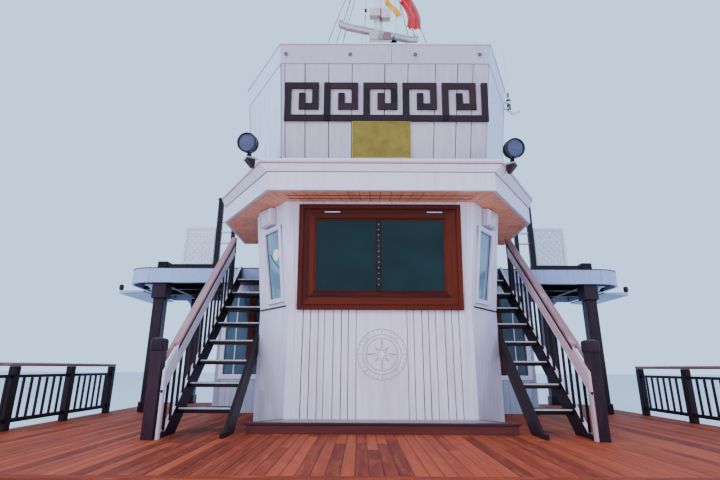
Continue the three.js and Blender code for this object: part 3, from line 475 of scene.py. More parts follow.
def canted_walls():
    """The upper part leaves a gap for the side light, which widens towards its head."""
    low, high = wall_faces("canted")
    across = high[:, 1] - high[:, 0]
    fore, after = high.copy(), high.copy()
    fore[:, 1] = high[:, 0] + across * 0.15
    after[:, 0] = high[:, 0] + across * [[0.635], [0.735]]
    between = np.stack([fore[:, 1], after[:, 0]], 1)
    shells = [cladding(low, uneven(0.06, 0.96, 0.13)), cladding(fore, [0.4, 1.0], gap=0.003),
              cladding(after, uneven(0.0, 0.9, 0.32)), cladding(between, [0.0, 0.5, 1.0], high=0.055),
              cladding(between, [0.0, 0.5, 1.0], low=0.795)]
    shells += [lining(low, [0.02, 0.98], 0.004), lining(fore, [0.1, 1.0], 0.004), lining(after, [0.0, 0.98],
                                                                                         0.004)]
    pair("canted_planks", shells, wall_white, stands_for=["wall_canted"])
    dark = [backing(low, [0.01, 0.99]), backing(fore, [0.05, 0.97]), backing(after, [0.03, 0.99])]
    pair("canted_wall_frame", dark, seam_dark)


def side_walls():
    """Over the sill they are full height as far aft as the roof deck, and low under it."""
    low, high = wall_faces("side")
    clear = (ROOF_DECK_LOW - SILL) / (SOFFIT - SILL) - 0.01
    short = (ROOF_DECK_FORE - 0.01 - 0.62) / (WALL_AFT - 0.62)
    shells = [cladding(low, uneven(0.045, 1.0, 0.078)), cladding(high, uneven(0.045, short, 0.078)),
              cladding(high, [short, 1.0], high=clear), lining(low, uneven(0.02, 1.0, 0.078)),
              lining(high, uneven(0.02, short, 0.078))]
    pair("side_planks", shells, wall_white, stands_for=["wall_side"])
    pair("side_wall_frame", [backing(low, [0.01, 0.99]), backing(high, [0.01, short])], seam_dark)


def corner_boards():
    """Flat boards that lap each corner of the bay, on both faces, and the smooth panel of the front."""
    shells = []
    for low, high, z0, z1 in ((BAY_FOOT, BAY_FOOT, 0.0, SILL + 0.002), (BAY_FOOT, BAY_HEAD, SILL + 0.002,
                                                                        SOFFIT)):
        for side, *spans in (("front", [0.962, 1.0]), ("canted", [0.0, 0.075], [0.935, 1.0]),
                             ("side", [0.0, 0.05])):
            face = bay_face(low, high, side, z0, z1)
            shells += [cladding(face, span, 0.03, 0.0, set_back=-0.006) for span in spans]
    pair("corner_boards", shells, wall_white)
    piece("front_panel", [cladding(wall_faces("front")[0], PANEL, gap=0.011, set_back=0.001)], wall_white)


def wall_back():
    """The planked upright over the roof deck that closes the wheelhouse's rear."""
    rows = []
    for z in (ROOF_DECK_LOW, SOFFIT):
        half, y = BAY_FOOT["side"][0] - WALL_THICK + WALL_LEAN * (z - SILL), ROOF_DECK_FORE - 2 * GAP
        rows.append([(half, y, z), (-half, y, z)])
    planks = cladding(np.array(rows), uneven(0, 1, 0.035), 0.059, 0.003)
    piece("back_planks", [planks], wall_white, stands_for=["wall_back_upper"])


front_wall()
canted_walls()
side_walls()
corner_boards()
wall_back()

# Front window: a heavy frame of varnished hardwood, stepped in towards the glass, with mitred corners. Two
# lights of dark green glass meet at a mullion, and a row of bright screw heads runs down it.
FIT = 0.0005  # a hairline left under what is fixed on a face
FRONT_PLACE = np.array([0.0, 0.0, SILL])
FRONT_UP = unit([0.0, BAY_HEAD["front"][1], SOFFIT - SILL])
FRONT_ACROSS = np.array([1.0, 0.0, 0.0])
FRONT_OUT = np.cross(FRONT_ACROSS, FRONT_UP)
WINDOW_HALF, WINDOW_LOW = 1.155, -0.055
GLASS_HALF, GLASS_LOW, GLASS_HIGH = 0.905, 0.215, 1.215
MULLION = -0.02


def mitres(outline, closed=True):
    """The way along each side of anticlockwise outlines, (..., points, 2), and the inward mitre at each
    corner."""
    ahead = unit(np.roll(outline, -1, -2) - outline)
    behind = np.roll(ahead, 1, -2)
    if not closed:
        ahead[-1], behind[0] = behind[-1], ahead[0]
    turn = np.array([[0.0, 1.0], [-1.0, 0.0]])
    first, second = behind @ turn, ahead @ turn
    return ahead, (first + second) / (1 + (first * second).sum(-1, keepdims=True))


def inset(outline, by):
    """Closed outlines with each side moved inwards by a distance."""
    return outline + by * mitres(outline)[1]


def slab(outlines, place, across, up, depth, arris=0.003):
    """Flat boards of any outline, (boards, points, 2), from a plane out to a depth, with eased edges."""
    outlines = np.asarray(outlines, float)
    if outlines.ndim == 2:
        outlines = outlines[None]
    across, up = unit(across), unit(up)
    out = np.cross(across, up)
    rings, grain = [], []
    shift = chance.random((len(outlines), 1, 3)) * 20
    for height, pulled in ((0, arris), (arris, 0), (depth - arris, 0), (depth, arris)):
        line = inset(outlines, pulled)
        rings.append(np.asarray(place) + line[..., :1] * across + line[..., 1:] * up + height * out)
        grain.append(np.concatenate([line, np.full(line.shape[:-1] + (1,), height)], -1) + shift)
    return shell(np.stack(rings, 1), np.stack(grain, 1))


def mitred(corners, profile, place=(0, 0, 0), across=(1, 0, 0), up=(0, 1, 0), closed=True):
    """A moulding along straight sides with mitred corners. The profile is (inwards, outwards) from the line.

    The line runs anticlockwise in the plane of across and up, and each side is a length of its own."""
    corners, profile = np.asarray(corners, float), np.asarray(profile, float)
    across, up = unit(across), unit(up)
    out = np.cross(across, up)
    ahead, mitre = mitres(corners, closed)
    line = corners[:, None] + profile[None, :, :1] * mitre[:, None]
    ring = np.asarray(place) + line[..., :1] * across + line[..., 1:] * up + profile[None, :, 1:] * out
    ends = np.arange(len(corners) if closed else len(corners) - 1)
    after = (ends + 1) % len(corners)
    rings = np.stack([ring[ends], ring[after]], 1)
    run = np.stack([(line[end] * ahead[ends, None]).sum(-1) for end in (ends, after)], 1)
    grain = np.concatenate([run[..., None], np.broadcast_to(profile, run.shape + (2,))], -1)
    return shell(rings, grain + chance.random((len(ends), 1, 1, 3)) * 20)


def rectangle(x0, x1, y0, y1):
    """Four corners, anticlockwise from the lowest."""
    return np.array([(x0, y0), (x1, y0), (x1, y1), (x0, y1)], float)


varnish = timber("red_varnish", "varnished_wood", (0.085, 0.0105, 0.002), (0.026, 0.003, 0.001), 0.36,
                 coat=0.03, bump=0.0003, Specular_IOR_Level=0.16)
bright = flat("bright_screws", "stay_wire", (0.75, 0.76, 0.75), 0.25, Metallic=1.0)


def around(count, closed=False):
    """Angles of a full turn; a closed one ends where it starts."""
    return np.linspace(0, 2 * np.pi, count, endpoint=closed)


def ball_heads(places, radius, out):
    """Round screw heads: half balls worked out on a ring of rings, one for each place."""
    places = np.asarray(places, float)
    out = unit(out)
    side = unit(np.cross(out, [0.31, 0.2, 0.93]))
    other = np.cross(out, side)
    angle = around(8)
    rise = np.radians([-20, 10, 45, 80])
    circle = np.cos(angle)[:, None] * side + np.sin(angle)[:, None] * other
    rings = np.cos(rise)[:, None, None] * circle + np.sin(rise)[:, None, None] * out
    return shell(places[:, None, None] + radius * rings[None])


def on_front(out=0.0):
    """The plane of the front wall's upper part, at a distance out from it."""
    return {"place": FRONT_PLACE + FRONT_OUT * out, "across": FRONT_ACROSS, "up": FRONT_UP}


def front_window():
    """Profiles carried round the outer line and the glass line, with slabs for what is between."""
    outer = rectangle(-WINDOW_HALF, WINDOW_HALF, WINDOW_LOW, FRONT_HIGH)
    rim = [(0, FIT), (0, 0.056), (0.006, 0.062), (0.060, 0.062), (0.070, 0.054), (0.074, 0.047),
           (0.074, FIT)]
    step = [(0.073, FIT), (0.073, 0.044), (0.078, 0.047), (0.17, 0.046), (0.178, 0.040), (0.178, FIT)]
    inner = rectangle(-GLASS_HALF, GLASS_HALF, GLASS_LOW, GLASS_HIGH)
    bead = [(0.0, -0.004), (-0.012, -0.004), (-0.012, 0.0), (-0.09, FIT), (-0.09, 0.050), (-0.03, 0.054),
            (-0.022, 0.049), (-0.014, 0.036), (0.0, 0.030)]
    shells = [mitred(outer, rim, **on_front()), mitred(outer, step, **on_front()),
              mitred(inner[::-1], np.array(bead)[::-1] * [-1, 1], **on_front())]
    shells += [slab(rectangle(-GLASS_HALF - 0.03, GLASS_HALF + 0.03, low, high), depth=0.046, **on_front())
               for low, high in ((GLASS_HIGH + 0.085, FRONT_HIGH - 0.174), (WINDOW_LOW + 0.174,
                                                                            GLASS_LOW - 0.085))]
    piece("window_frame", shells, varnish, stands_for=["front_window_frame"])
    post = rectangle(*about(MULLION, 0.030), GLASS_LOW - 0.01, GLASS_HIGH + 0.01)
    piece("window_mullion", [slab(post, depth=0.022, **on_front(0.0205))], seam_dark)
    rows = np.linspace(GLASS_LOW + 0.08, GLASS_HIGH - 0.06, 12)
    spots = on_front(0.0425)["place"] + MULLION * FRONT_ACROSS + rows[:, None] * FRONT_UP
    piece("mullion_screws", [ball_heads(spots, 0.009, FRONT_OUT)], bright)
    clips = [slab(rectangle(*about(x, 0.11), FRONT_HIGH - 0.125, FRONT_HIGH - 0.110), depth=0.006,
                  arris=0.001, **on_front(0.0605)) for x in (-0.68, 0.78)]
    piece("window_catches", clips, bright)


def glass(name, slot, first, second, span, gloss, scale, stretch=(1, 1, 1), **fixed):
    """Glass whose tint drifts between two colours, and whose gloss varies a little with it."""

    def paint(f):
        haze = f.place().scaled(*stretch).noise(scale)
        return {"Base_Color": haze.between(*span).mix(first, second), "Roughness": haze * gloss[0] + gloss[1]}

    return finish_of(name, slot, paint, IOR=1.5, **fixed)


def glaze(node, finish):
    """A pane of the CAD's own, with a finish."""
    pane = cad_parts[node]
    pane.data.materials.clear()
    pane.data.materials.append(finish)


window_glass = glass("green_glass", "window_glass", (0.002, 0.009, 0.011), (0.004, 0.020, 0.022), (0.35, 0.7),
                     (0.05, 0.01), 1.4, (0.9, 1, 1.6), Alpha=0.94, Specular_IOR_Level=0.25)
glaze("front_glass", window_glass)
front_window()

# Side lights: one in each canted wall, wider at the head, in a mitred white frame with pale blue glass. A
# round ventilator plate shows in the starboard one, and a thin drip ledge runs below each at the sill.
CANTED_MIDDLE = np.array([1.535, 0.325, SILL])
CANTED_ACROSS = unit([0.53, 0.65, 0.0])
CANTED_LEVEL = np.cross(CANTED_ACROSS, [0.0, 0.0, 1.0])
CANTED_LEAN = np.dot([0.095, -0.141, 0.0], CANTED_LEVEL)
CANTED_UP = unit(CANTED_LEVEL * CANTED_LEAN + [0.0, 0.0, SOFFIT - SILL])
CANTED_OUT = np.cross(CANTED_ACROSS, CANTED_UP)
LIGHT_FRAME = 0.065


def on_canted(out=0.0):
    """The plane of the port canted wall's upper part, at a distance out from it."""
    return {"place": CANTED_MIDDLE + CANTED_OUT * out, "across": CANTED_ACROSS, "up": CANTED_UP}


def tube(path, radius, sides=10):
    """A round bar along a path of points; its rings keep their turn from one point to the next."""
    path = np.asarray(path, float)
    way = unit(np.gradient(path, axis=0))
    side = np.zeros_like(way)
    side[0] = unit(np.cross(way[0], [0.37, 0.91, 0.18] if abs(way[0][1]) < 0.9 else [1.0, 0, 0.1]))
    for i in range(1, len(path)):
        side[i] = unit(side[i - 1] - way[i] * np.dot(side[i - 1], way[i]))
    other = np.cross(way, side)
    angle = around(sides)
    radius = np.broadcast_to(np.asarray(radius, float), len(path))[:, None, None]
    rings = path[:, None] + radius * (np.cos(angle)[None, :, None] * side[:, None]
                                      + np.sin(angle)[None, :, None] * other[:, None])
    run = np.concatenate([[0], np.cumsum(np.linalg.norm(np.diff(path, axis=0), axis=1))])
    grain = np.stack(np.broadcast_arrays(run[:, None], radius[:, :, 0] * np.cos(angle),
                                         radius[:, :, 0] * np.sin(angle)), -1)
    return shell(rings[None], grain[None])


light_glass = glass("pale_blue_glass", "pale_glass", (0.10, 0.22, 0.33), (0.22, 0.38, 0.50), (0.3, 0.7),
                    (0.08, 0.02), 1.6, Alpha=0.72, Coat_Weight=0.5, Coat_Roughness=0.03)
disc_white = flat("vent_enamel", "radar_paint", (0.72, 0.74, 0.72), 0.4)
black = flat("black_enamel", "lamp_metal", (0.010, 0.010, 0.013), 0.32, Coat_Weight=0.12,
             Specular_IOR_Level=0.3)


def side_lights():
    """A profile carried round a four-cornered light. The cord sags by a share of t (1 - t)."""
    grow = LIGHT_FRAME
    line = [(-0.25 - grow, 0.13 - grow), (0.075 + grow, 0.13 - grow), (0.165 + grow, 1.13 + grow),
            (-0.25 - grow, 1.13 + grow)]
    profile = [(0.0, FIT), (0.0, 0.026), (0.004, 0.030), (0.048, 0.030), (0.054, 0.022), (0.065, 0.020),
               (0.065, -0.012), (0.050, -0.012), (0.050, FIT)]
    pair("side_light_frames", [mitred(line, profile, **on_canted())], wall_white,
         stands_for=["side_light_frame"])
    for side in ("port", "stbd"):
        glaze("side_light_glass_" + side, light_glass)
    # A black strip inside the aft edge of each pane: painted shade of the frame's reveal.
    strip = [(0.060, 0.132), (0.0745, 0.132), (0.1642, 1.128), (0.150, 1.128)]
    pair("pane_gaskets", [slab(strip, depth=0.006, **on_canted(-0.0115))], black)
    ledge = CANTED_MIDDLE + np.array([-0.36, 0.405])[:, None] * CANTED_ACROSS + CANTED_LEVEL * 0.012 + [0, 0,
                                                                                                        0.004]
    pair("drip_ledges", [boards(ledge[None], [0, 0, 1], 0.012, 0.028, 0.003, CANTED_LEVEL)], seam_dark)
    angle = around(28)
    disc = np.stack([-0.125 + 0.09 * np.cos(angle), 0.77 + 0.09 * np.sin(angle)], -1)
    plate = slab(disc, depth=0.010, **on_canted(-0.011))
    t = np.linspace(0, 1, 12)[:, None]
    arm = (on_canted(-0.011)["place"] + (0.07 - 0.31 * t) * CANTED_ACROSS
           + (0.81 - 0.28 * t - 0.08 * t * (1 - t)) * CANTED_UP)
    piece("vent_plate", mirrored([plate]), disc_white)
    piece("vent_cord", mirrored([tube(arm, 0.006, 6)]), black)


side_lights()

# Flood lamps: a white cast box under the soffit over each side light, with a glass front, a dished bright
# reflector and a lamp tube across it.
FLOOD_WIDE, FLOOD_LOW, FLOOD_HIGH, FLOOD_DEEP = 0.165, 1.225, 1.48, 0.11
reflector_metal = flat("reflector", "stay_wire", (0.80, 0.77, 0.68), 0.22, 30.0, Metallic=1.0)
clear = finish_of("lamp_glass", "pale_glass", lambda f: {}, Base_Color=(0.75, 0.8, 0.82, 1), Roughness=0.06,
                  Alpha=0.35)


def plate_of(place, x, y, lift, across, up):
    """A thin plate through a grid of points, each across, up and out from a place."""
    out = np.cross(across, up)
    face = place + x[..., None] * across + y[..., None] * up + lift[..., None] * out
    return shell(np.concatenate([face, (face - 0.003 * out)[:, ::-1]], 1)[None])


def flood_lamps():
    """A profile carried round the case. The reflector's depth falls with the square of the height."""
    outer = rectangle(-FLOOD_WIDE, FLOOD_WIDE, FLOOD_LOW, FLOOD_HIGH)
    case = [(0.0, FIT), (0.0, FLOOD_DEEP * 0.72), (0.016, FLOOD_DEEP - 0.012), (0.022, FLOOD_DEEP),
            (0.034, FLOOD_DEEP), (0.036, FLOOD_DEEP - 0.016), (0.036, FIT)]
    back = slab(rectangle(-FLOOD_WIDE + 0.03, FLOOD_WIDE - 0.03, FLOOD_LOW + 0.03, FLOOD_HIGH - 0.03),
                depth=0.01, **on_canted())
    pair("flood_lamp_cases", [mitred(outer, case, **on_canted()), back], wall_white,
         stands_for=["flood_lamp"])
    high, width = (FLOOD_HIGH - FLOOD_LOW) / 2 - 0.04, FLOOD_WIDE - 0.04
    x, y = np.meshgrid(*(np.linspace(-half, half, 17) for half in (width, high)), indexing="ij")
    depth = FLOOD_DEEP - 0.024 - 0.065 * (1 - (y / high) ** 2) * (1 - 0.3 * (x / width) ** 6)
    centre = (FLOOD_LOW + FLOOD_HIGH) / 2
    pair("flood_lamp_reflectors", [plate_of(CANTED_MIDDLE, x, centre + y, depth, CANTED_ACROSS, CANTED_UP)],
         reflector_metal)
    ends = np.array([-0.1, 0.1])[:, None] * CANTED_ACROSS + centre * CANTED_UP
    pair("flood_lamp_tubes", [tube(on_canted(FLOOD_DEEP - 0.05)["place"] + ends, 0.008)], disc_white)
    pane = slab(rectangle(-width, width, *about(centre, high)), depth=0.004, arris=0.001,
                **on_canted(FLOOD_DEEP - 0.018))
    pair("flood_lamp_glass", [pane], clear)


flood_lamps()

# Eave: a flared roof of painted boards. Soffit boards run out square to each side and meet on hips at the
# corners, a deep fascia closes their ends, a crown of a flat band and a bead laps over it, and roof boards
# lie on top.
EAVE_LINE = {"front": (1.555, -0.60), "side": (2.54, 0.84)}
MOULDING_LINE = {"front": (1.66, -0.65), "side": (2.60, 0.79)}
EAVE_AFT = 2.2
FASCIA_LOW, FASCIA_TOP, BEAD_LOW, ROOF_TOP = 3.085, 3.355, 3.467, 3.54
FASCIA_THICK = 0.05
SOFFIT_BEADS = (-0.39, -0.27)
LEVEL = {"across": (1, 0, 0), "up": (0, 1, 0)}

# The soffit's salmon colour and red-brown grime tint are painted warm light thrown up from the deck onto the
# eave's underside. The streak mask that mixes them is dirt.
soffit_bounce_lit = white_paint("soffit_paint_bounce_lit", (0.80, 0.35, 0.21), (0.34, 0.10, 0.05), 0.6, 0.8)
# Brown for the inset fillet under the bead and the strip under the band's proud lower edge: painted shade
# lines in those joints.
shade_line_brown = flat("shade_line_brown", "varnished_wood", (0.07, 0.025, 0.022), 0.6, Specular_IOR_Level=0.2)
trim_white = white_paint("trim_paint", (0.58, 0.56, 0.70), (0.38, 0.30, 0.36), 0.4, 0.45)
trim_pink = white_paint("quirk_paint", (0.52, 0.31, 0.32), (0.30, 0.15, 0.15), 0.5, 0.6)


def plan(line, aft):
    """The plan outline of a bay, anticlockwise from its aft port corner's mirror image."""
    front, side = line["front"], line["side"]
    half = np.array([(-side[0], aft), (-side[0], side[1]), (-front[0], front[1])])
    return np.concatenate([half, half[::-1] * [-1, 1]])


def at_height(outline, z):
    """A flat outline lifted to a height z."""
    return np.column_stack([outline, np.full(len(outline), z)])


def strips(outline, pitch, gap=0.004):
    """Fore-and-aft strips that fill a plan outline, each a four-sided outline."""
    side, front = outline[4], outline[3]
    start = front[0]
    edges = np.unique(np.concatenate([np.linspace(a, b, round((b - a) / pitch) + 1) for a, b in (
        (-side[0], -start), (-start, start), (start, side[0]))]))
    x0, x1 = edges[:-1] + gap / 2, edges[1:] - gap / 2
    rise = (side[1] - front[1]) / (side[0] - start)
    y0, y1 = (front[1] + np.clip(np.abs(x) - start, 0, None) * rise for x in (x0, x1))
    aft = np.full_like(x0, outline[0][1])
    return np.stack([np.stack([x0, y0], -1), np.stack([x1, y1], -1), np.stack([x1, aft], -1),
                     np.stack([x0, aft], -1)], 1)


def fanned(outer, inner, pitch, gap=0.004):
    """Boards that run from one line out to another with as many corners, each a four-sided outline."""
    rows = []
    for a, b, c, d in zip(outer[:-1], outer[1:], inner[:-1], inner[1:]):
        cut = np.linspace(0, 1, round(np.linalg.norm(b - a) / pitch) + 1)[:, None]
        far, near, slit = a + (b - a) * cut, c + (d - c) * cut, unit(b - a) * gap / 2
        rows.append(np.stack([far[:-1] + slit, far[1:] - slit, near[1:] - slit, near[:-1] + slit], 1))
    return np.concatenate(rows)


def eave():
    """Profiles carried round the eave's line and the moulding's, with boards as strips inside them."""
    outline = plan(EAVE_LINE, EAVE_AFT)
    inside = inset(outline, FASCIA_THICK + 0.001)
    walls_head = plan(BAY_HEAD, inside[0][1])
    under = [slab(rows, (0, 0, SOFFIT + FIT), depth=0.02, arris=0.002, **LEVEL)
             for rows in (fanned(inside, walls_head, 0.155, 0.009), strips(walls_head, 0.155, 0.009))]
    piece("soffit_boards", under, soffit_bounce_lit, stands_for=["soffit"])
    hidden = slab(inset(outline, 0.1), (0, 0, SOFFIT + 0.012), depth=0.01, arris=0.002, **LEVEL)
    beads = [tube([(-1.31, y, SOFFIT + 0.001), (1.31, y, SOFFIT + 0.001)], 0.006, 8) for y in SOFFIT_BEADS]
    piece("soffit_battens", [hidden] + beads, seam_dark)
    low, z = FASCIA_LOW, FASCIA_TOP
    fascia = [(0, low + 0.004), (0, z), (FASCIA_THICK, z), (FASCIA_THICK, low), (0.004, low)]
    under_band = [(0.03, z - 0.006), (-0.004, z - 0.006), (-0.004, z + FIT), (0.03, z + FIT)]
    z = BEAD_LOW
    quirk = [(0.10, z), (0.008, z), (0.002, z + 0.006), (0.001, z + 0.012), (0.001, z + 0.022),
             (0.10, z + 0.022)]
    fillet = [(0.09, z - 0.008), (0.020, z - 0.008), (0.020, z - 0.001), (0.09, z - 0.001)]
    bead = [(0.10, z + 0.023), (0.003, z + 0.023), (0, z + 0.026), (0, ROOF_TOP - 0.016),
            (0.004, ROOF_TOP - 0.006), (0.012, ROOF_TOP - 0.001), (0.15, ROOF_TOP - 0.001), (0.15, z + 0.03),
            (0.10, z + 0.03)]
    crown = plan(MOULDING_LINE, EAVE_AFT + 0.03)
    on_top = slab(strips(inset(crown, 0.14), 0.2), (0, 0, ROOF_TOP - 0.045), depth=0.043, **LEVEL)
    foot, head = inset(plan(EAVE_LINE, EAVE_AFT + 0.01), -0.01), inset(plan(MOULDING_LINE, EAVE_AFT + 0.018),
                                                                       0.012)
    section = np.stack([at_height(line, height) for line, height in (
        (inset(foot, 0.05), FASCIA_TOP + 0.001), (foot, FASCIA_TOP + 0.001), (head, z - 0.008),
        (inset(head, 0.05), z - 0.008))], 1)
    band = shell(np.stack([section, np.roll(section, -1, 0)], 1))
    piece("eave_fascia", [mitred(outline, fascia), band, on_top], trim_white, stands_for=["eave_roof"])
    piece("eave_bead", [mitred(crown, bead)], trim_white)
    piece("eave_quirk", [mitred(crown, quirk)], trim_pink)
    # The brown fillet and under-band strip paint the shade in the joints of the crown.
    piece("eave_shade_lines", [mitred(crown, fillet), mitred(outline, under_band)], shade_line_brown)


eave()

# Roof screen: tall planked sides that lean outwards over the eave, with a frieze board and a cap along the
# top and rails behind. Boards are wide in front and narrow on the canted sides.
SCREEN_FOOT = {"front": (1.483, -0.249), "side": (2.099, 0.847)}
SCREEN_HEAD = {"front": (1.60, -0.44), "side": (2.29, 0.77)}
FRIEZE, SCREEN_TOP = 5.23, 5.54
SCREEN_AFT = 2.15
SCREEN_SHIFT = (0.053, 0.092)
FRONT_SEAMS = [0.0, 0.017, 0.115, 0.23, 0.342, 0.5, 0.612, 0.743, 0.851, 0.925, 1.0]
CANTED_SEAMS = [0.03, 0.20, 0.34, 0.49, 0.64, 0.81, 0.985]

screen_white = white_paint("screen_paint", (0.44, 0.39, 0.47), (0.27, 0.22, 0.27), 0.5, 0.6)
# The canted and side faces take a bluer, lighter copy of the screen's paint: painted sky light on the faces
# that turn to the side.
screen_sky_lit_blue = white_paint("screen_side_paint_sky_lit", (0.56, 0.64, 0.80), (0.34, 0.36, 0.44), 0.5, 0.55)


def screen_line(z):
    """The bay's plan at a height of the leaning screen."""
    t = (z - ROOF_TOP) / (SCREEN_TOP - ROOF_TOP)
    return {key: tuple(np.array(SCREEN_FOOT[key]) * (1 - t) + np.array(SCREEN_HEAD[key]) * t)
            for key in SCREEN_FOOT}


def screen_face(side, z0, z1):
    """The face of one side between two heights, where the screen's line gives foot and head."""
    return bay_face(screen_line(z0), screen_line(z1), side, z0, z1, SCREEN_AFT)


def to_port(shells):
    """The screen's shells with its front moved to port, less and less towards the corners aft."""
    made = []
    for points, grain, tone, faces in shells:
        rise = (points[:, 2] - ROOF_TOP) / (SCREEN_TOP - ROOF_TOP)
        front, side = (SCREEN_FOOT[k][1] + rise * (SCREEN_HEAD[k][1] - SCREEN_FOOT[k][1]) for k in ("front",
                                                                                                    "side"))
        share = np.clip((side - points[:, 1]) / (side - front), 0, 1)
        shift = (SCREEN_SHIFT[0] + rise * (SCREEN_SHIFT[1] - SCREEN_SHIFT[0])) * share
        made.append((points + shift[:, None] * [1, 0, 0], grain, tone, faces))
    return made


def screen_pair(name, shells, finish, stands_for=None):
    """A piece on each side of the screen, mirrored before its front is moved to port."""
    for hand, made in (("_port", shells), ("_stbd", mirrored(shells))):
        piece(name + hand, to_port(made), finish, stands_for=[stands_for + hand] if stands_for else ())


def screen():
    """Cladding by fractions of each side's width: planks, a frieze, rails and studs; then the cap."""
    foot, top = ROOF_TOP + 0.001, SCREEN_TOP
    faces = {"front": (np.array(FRONT_SEAMS), [0.0, 0.53, 1.0], screen_white),
             "canted": (np.array(CANTED_SEAMS), [0.0, 1.0], screen_sky_lit_blue),
             "side": (uneven(0.02, 1.0, 0.11), [0.0, 1.0], screen_sky_lit_blue)}
    for side, (seams, frieze, finish) in faces.items():
        gap = 0.006 + 0.008 * chance.random(len(seams) - 1)
        planked = [cladding(screen_face(side, foot, FRIEZE), seams, 0.022, gap),
                   cladding(screen_face(side, FRIEZE, top), frieze, 0.034, 0.004, set_back=-0.012)]
        battens = [cladding(screen_face(side, foot, top - 0.01), [0.005, 0.995], 0.010, 0.0, set_back=0.023)]
        planked += [cladding(screen_face(side, z, z + 0.07), [0.02, 0.98], 0.058, 0.0, set_back=0.036)
                    for z in (foot, (foot + top) / 2, top - 0.09)]
        planked += [cladding(screen_face(side, foot + 0.07, top - 0.09), about(t, 0.015), 0.045, 0.0,
                             set_back=0.036) for t in (0.04, 0.35, 0.65, 0.96)]
        if side == "front":
            piece("screen_front_planks", to_port(planked), finish, stands_for=["screen_front"])
            piece("screen_front_battens", to_port(battens), seam_dark)
        else:
            screen_pair("screen_" + side + "_planks", planked, finish, "screen_" + side)
            screen_pair("screen_" + side + "_battens", battens, seam_dark)
    cap = [(-0.025, top), (-0.025, top + 0.022), (-0.018, top + 0.029), (0.078, top + 0.029),
           (0.085, top + 0.022), (0.085, top)]
    line = plan(screen_line(top), SCREEN_AFT)
    piece("screen_cap", to_port([mitred(line, cap, closed=False)]), trim_white)
    corner = [cladding(screen_face(side, foot, top), span, 0.03, 0.0, set_back=-0.008)
              for side, span in (("canted", [0.978, 1.0]), ("side", [0.0, 0.03]))]
    screen_pair("screen_corner_boards", corner, screen_white)


screen()

# What hangs on the screen's front: screw eyes on the frieze, a blank brass plate on four screws, and a
# fretwork band of dark wood in the traditional running key, built of square-cut strips.
SCREEN_PLACE = np.array([0.0, SCREEN_FOOT["front"][1], ROOF_TOP])
SCREEN_UP = unit([0.0, SCREEN_HEAD["front"][1] - SCREEN_FOOT["front"][1], SCREEN_TOP - ROOF_TOP])
SCREEN_OUT = np.cross(FRONT_ACROSS, SCREEN_UP)
EYES = (-1.425, -0.445, 0.545, 1.53)
PLATE_X = (-0.41, 0.46)
PLATE_Z = (0.18, 0.755)
KEY_LOW, KEY_HIGH, KEY_X, KEY_HALF = 0.75, 1.37, 0.10, 1.52
KEY_UNITS, KEY_STRIP = 5, 0.10

brass = flat("dull_brass", "varnished_wood", (0.27, 0.185, 0.028), 0.42, 7.0, 0.0006, 0.6, Metallic=0.45)
brass_edge = flat("bright_brass", "varnished_wood", (0.70, 0.50, 0.13), 0.25, 20.0, Metallic=1.0)
key_wood = timber("key_wood", "dark_wood", (0.026, 0.011, 0.013), (0.008, 0.004, 0.005), 0.45,
                  Specular_IOR_Level=0.25)


def on_screen(x, up, out=0.0):
    """A place on the screen's front: across, up its slope from the roof, and out from it."""
    x, up = np.broadcast_arrays(np.asarray(x, float), np.asarray(up, float))
    return SCREEN_PLACE + x[..., None] * FRONT_ACROSS + up[..., None] * SCREEN_UP + out * SCREEN_OUT


def screw_eyes():
    """Each eye is a circle of tube and a straight stem out of the frieze."""
    turn = around(17, True)
    made = []
    for x in EYES:
        made.append(tube(on_screen(x + 0.022 * np.cos(turn), 1.84 + 0.022 * np.sin(turn), 0.028), 0.006, 8))
        made.append(tube(on_screen([x, x], [1.865, 1.865]) + np.array([[0.0], [0.028]]) * SCREEN_OUT, 0.006,
                         8))
    piece("screw_eyes", made, black)


def brass_plate():
    """A grid whose depth is a sum of sine waves of x and z, in a mitred rim."""
    x, z = np.meshgrid(*(low + np.linspace(0, 1, 25) * (high - low) for low, high in (PLATE_X, PLATE_Z)),
                       indexing="ij")
    bow = 0.016 + 0.004 * np.sin(7 * x) * np.cos(5 * z) + 0.003 * np.cos(11 * x + 4 * z)
    piece("brass_plate", [plate_of(SCREEN_PLACE, x, z, bow, FRONT_ACROSS, SCREEN_UP)], brass)
    rim = [(0.0, 0.003), (0.0, 0.024), (0.005, 0.026), (0.012, 0.024), (0.014, 0.003)]
    x, z = (np.array([low + 0.04, high - 0.04]) for low, high in (PLATE_X, PLATE_Z))
    screws = on_screen(np.tile(x, 2), np.repeat(z, 2), 0.019)
    piece("brass_plate_rim", [mitred(rectangle(*PLATE_X, *PLATE_Z), rim, SCREEN_PLACE, FRONT_ACROSS,
                                     SCREEN_UP), ball_heads(screws, 0.011, SCREEN_OUT)], brass_edge)


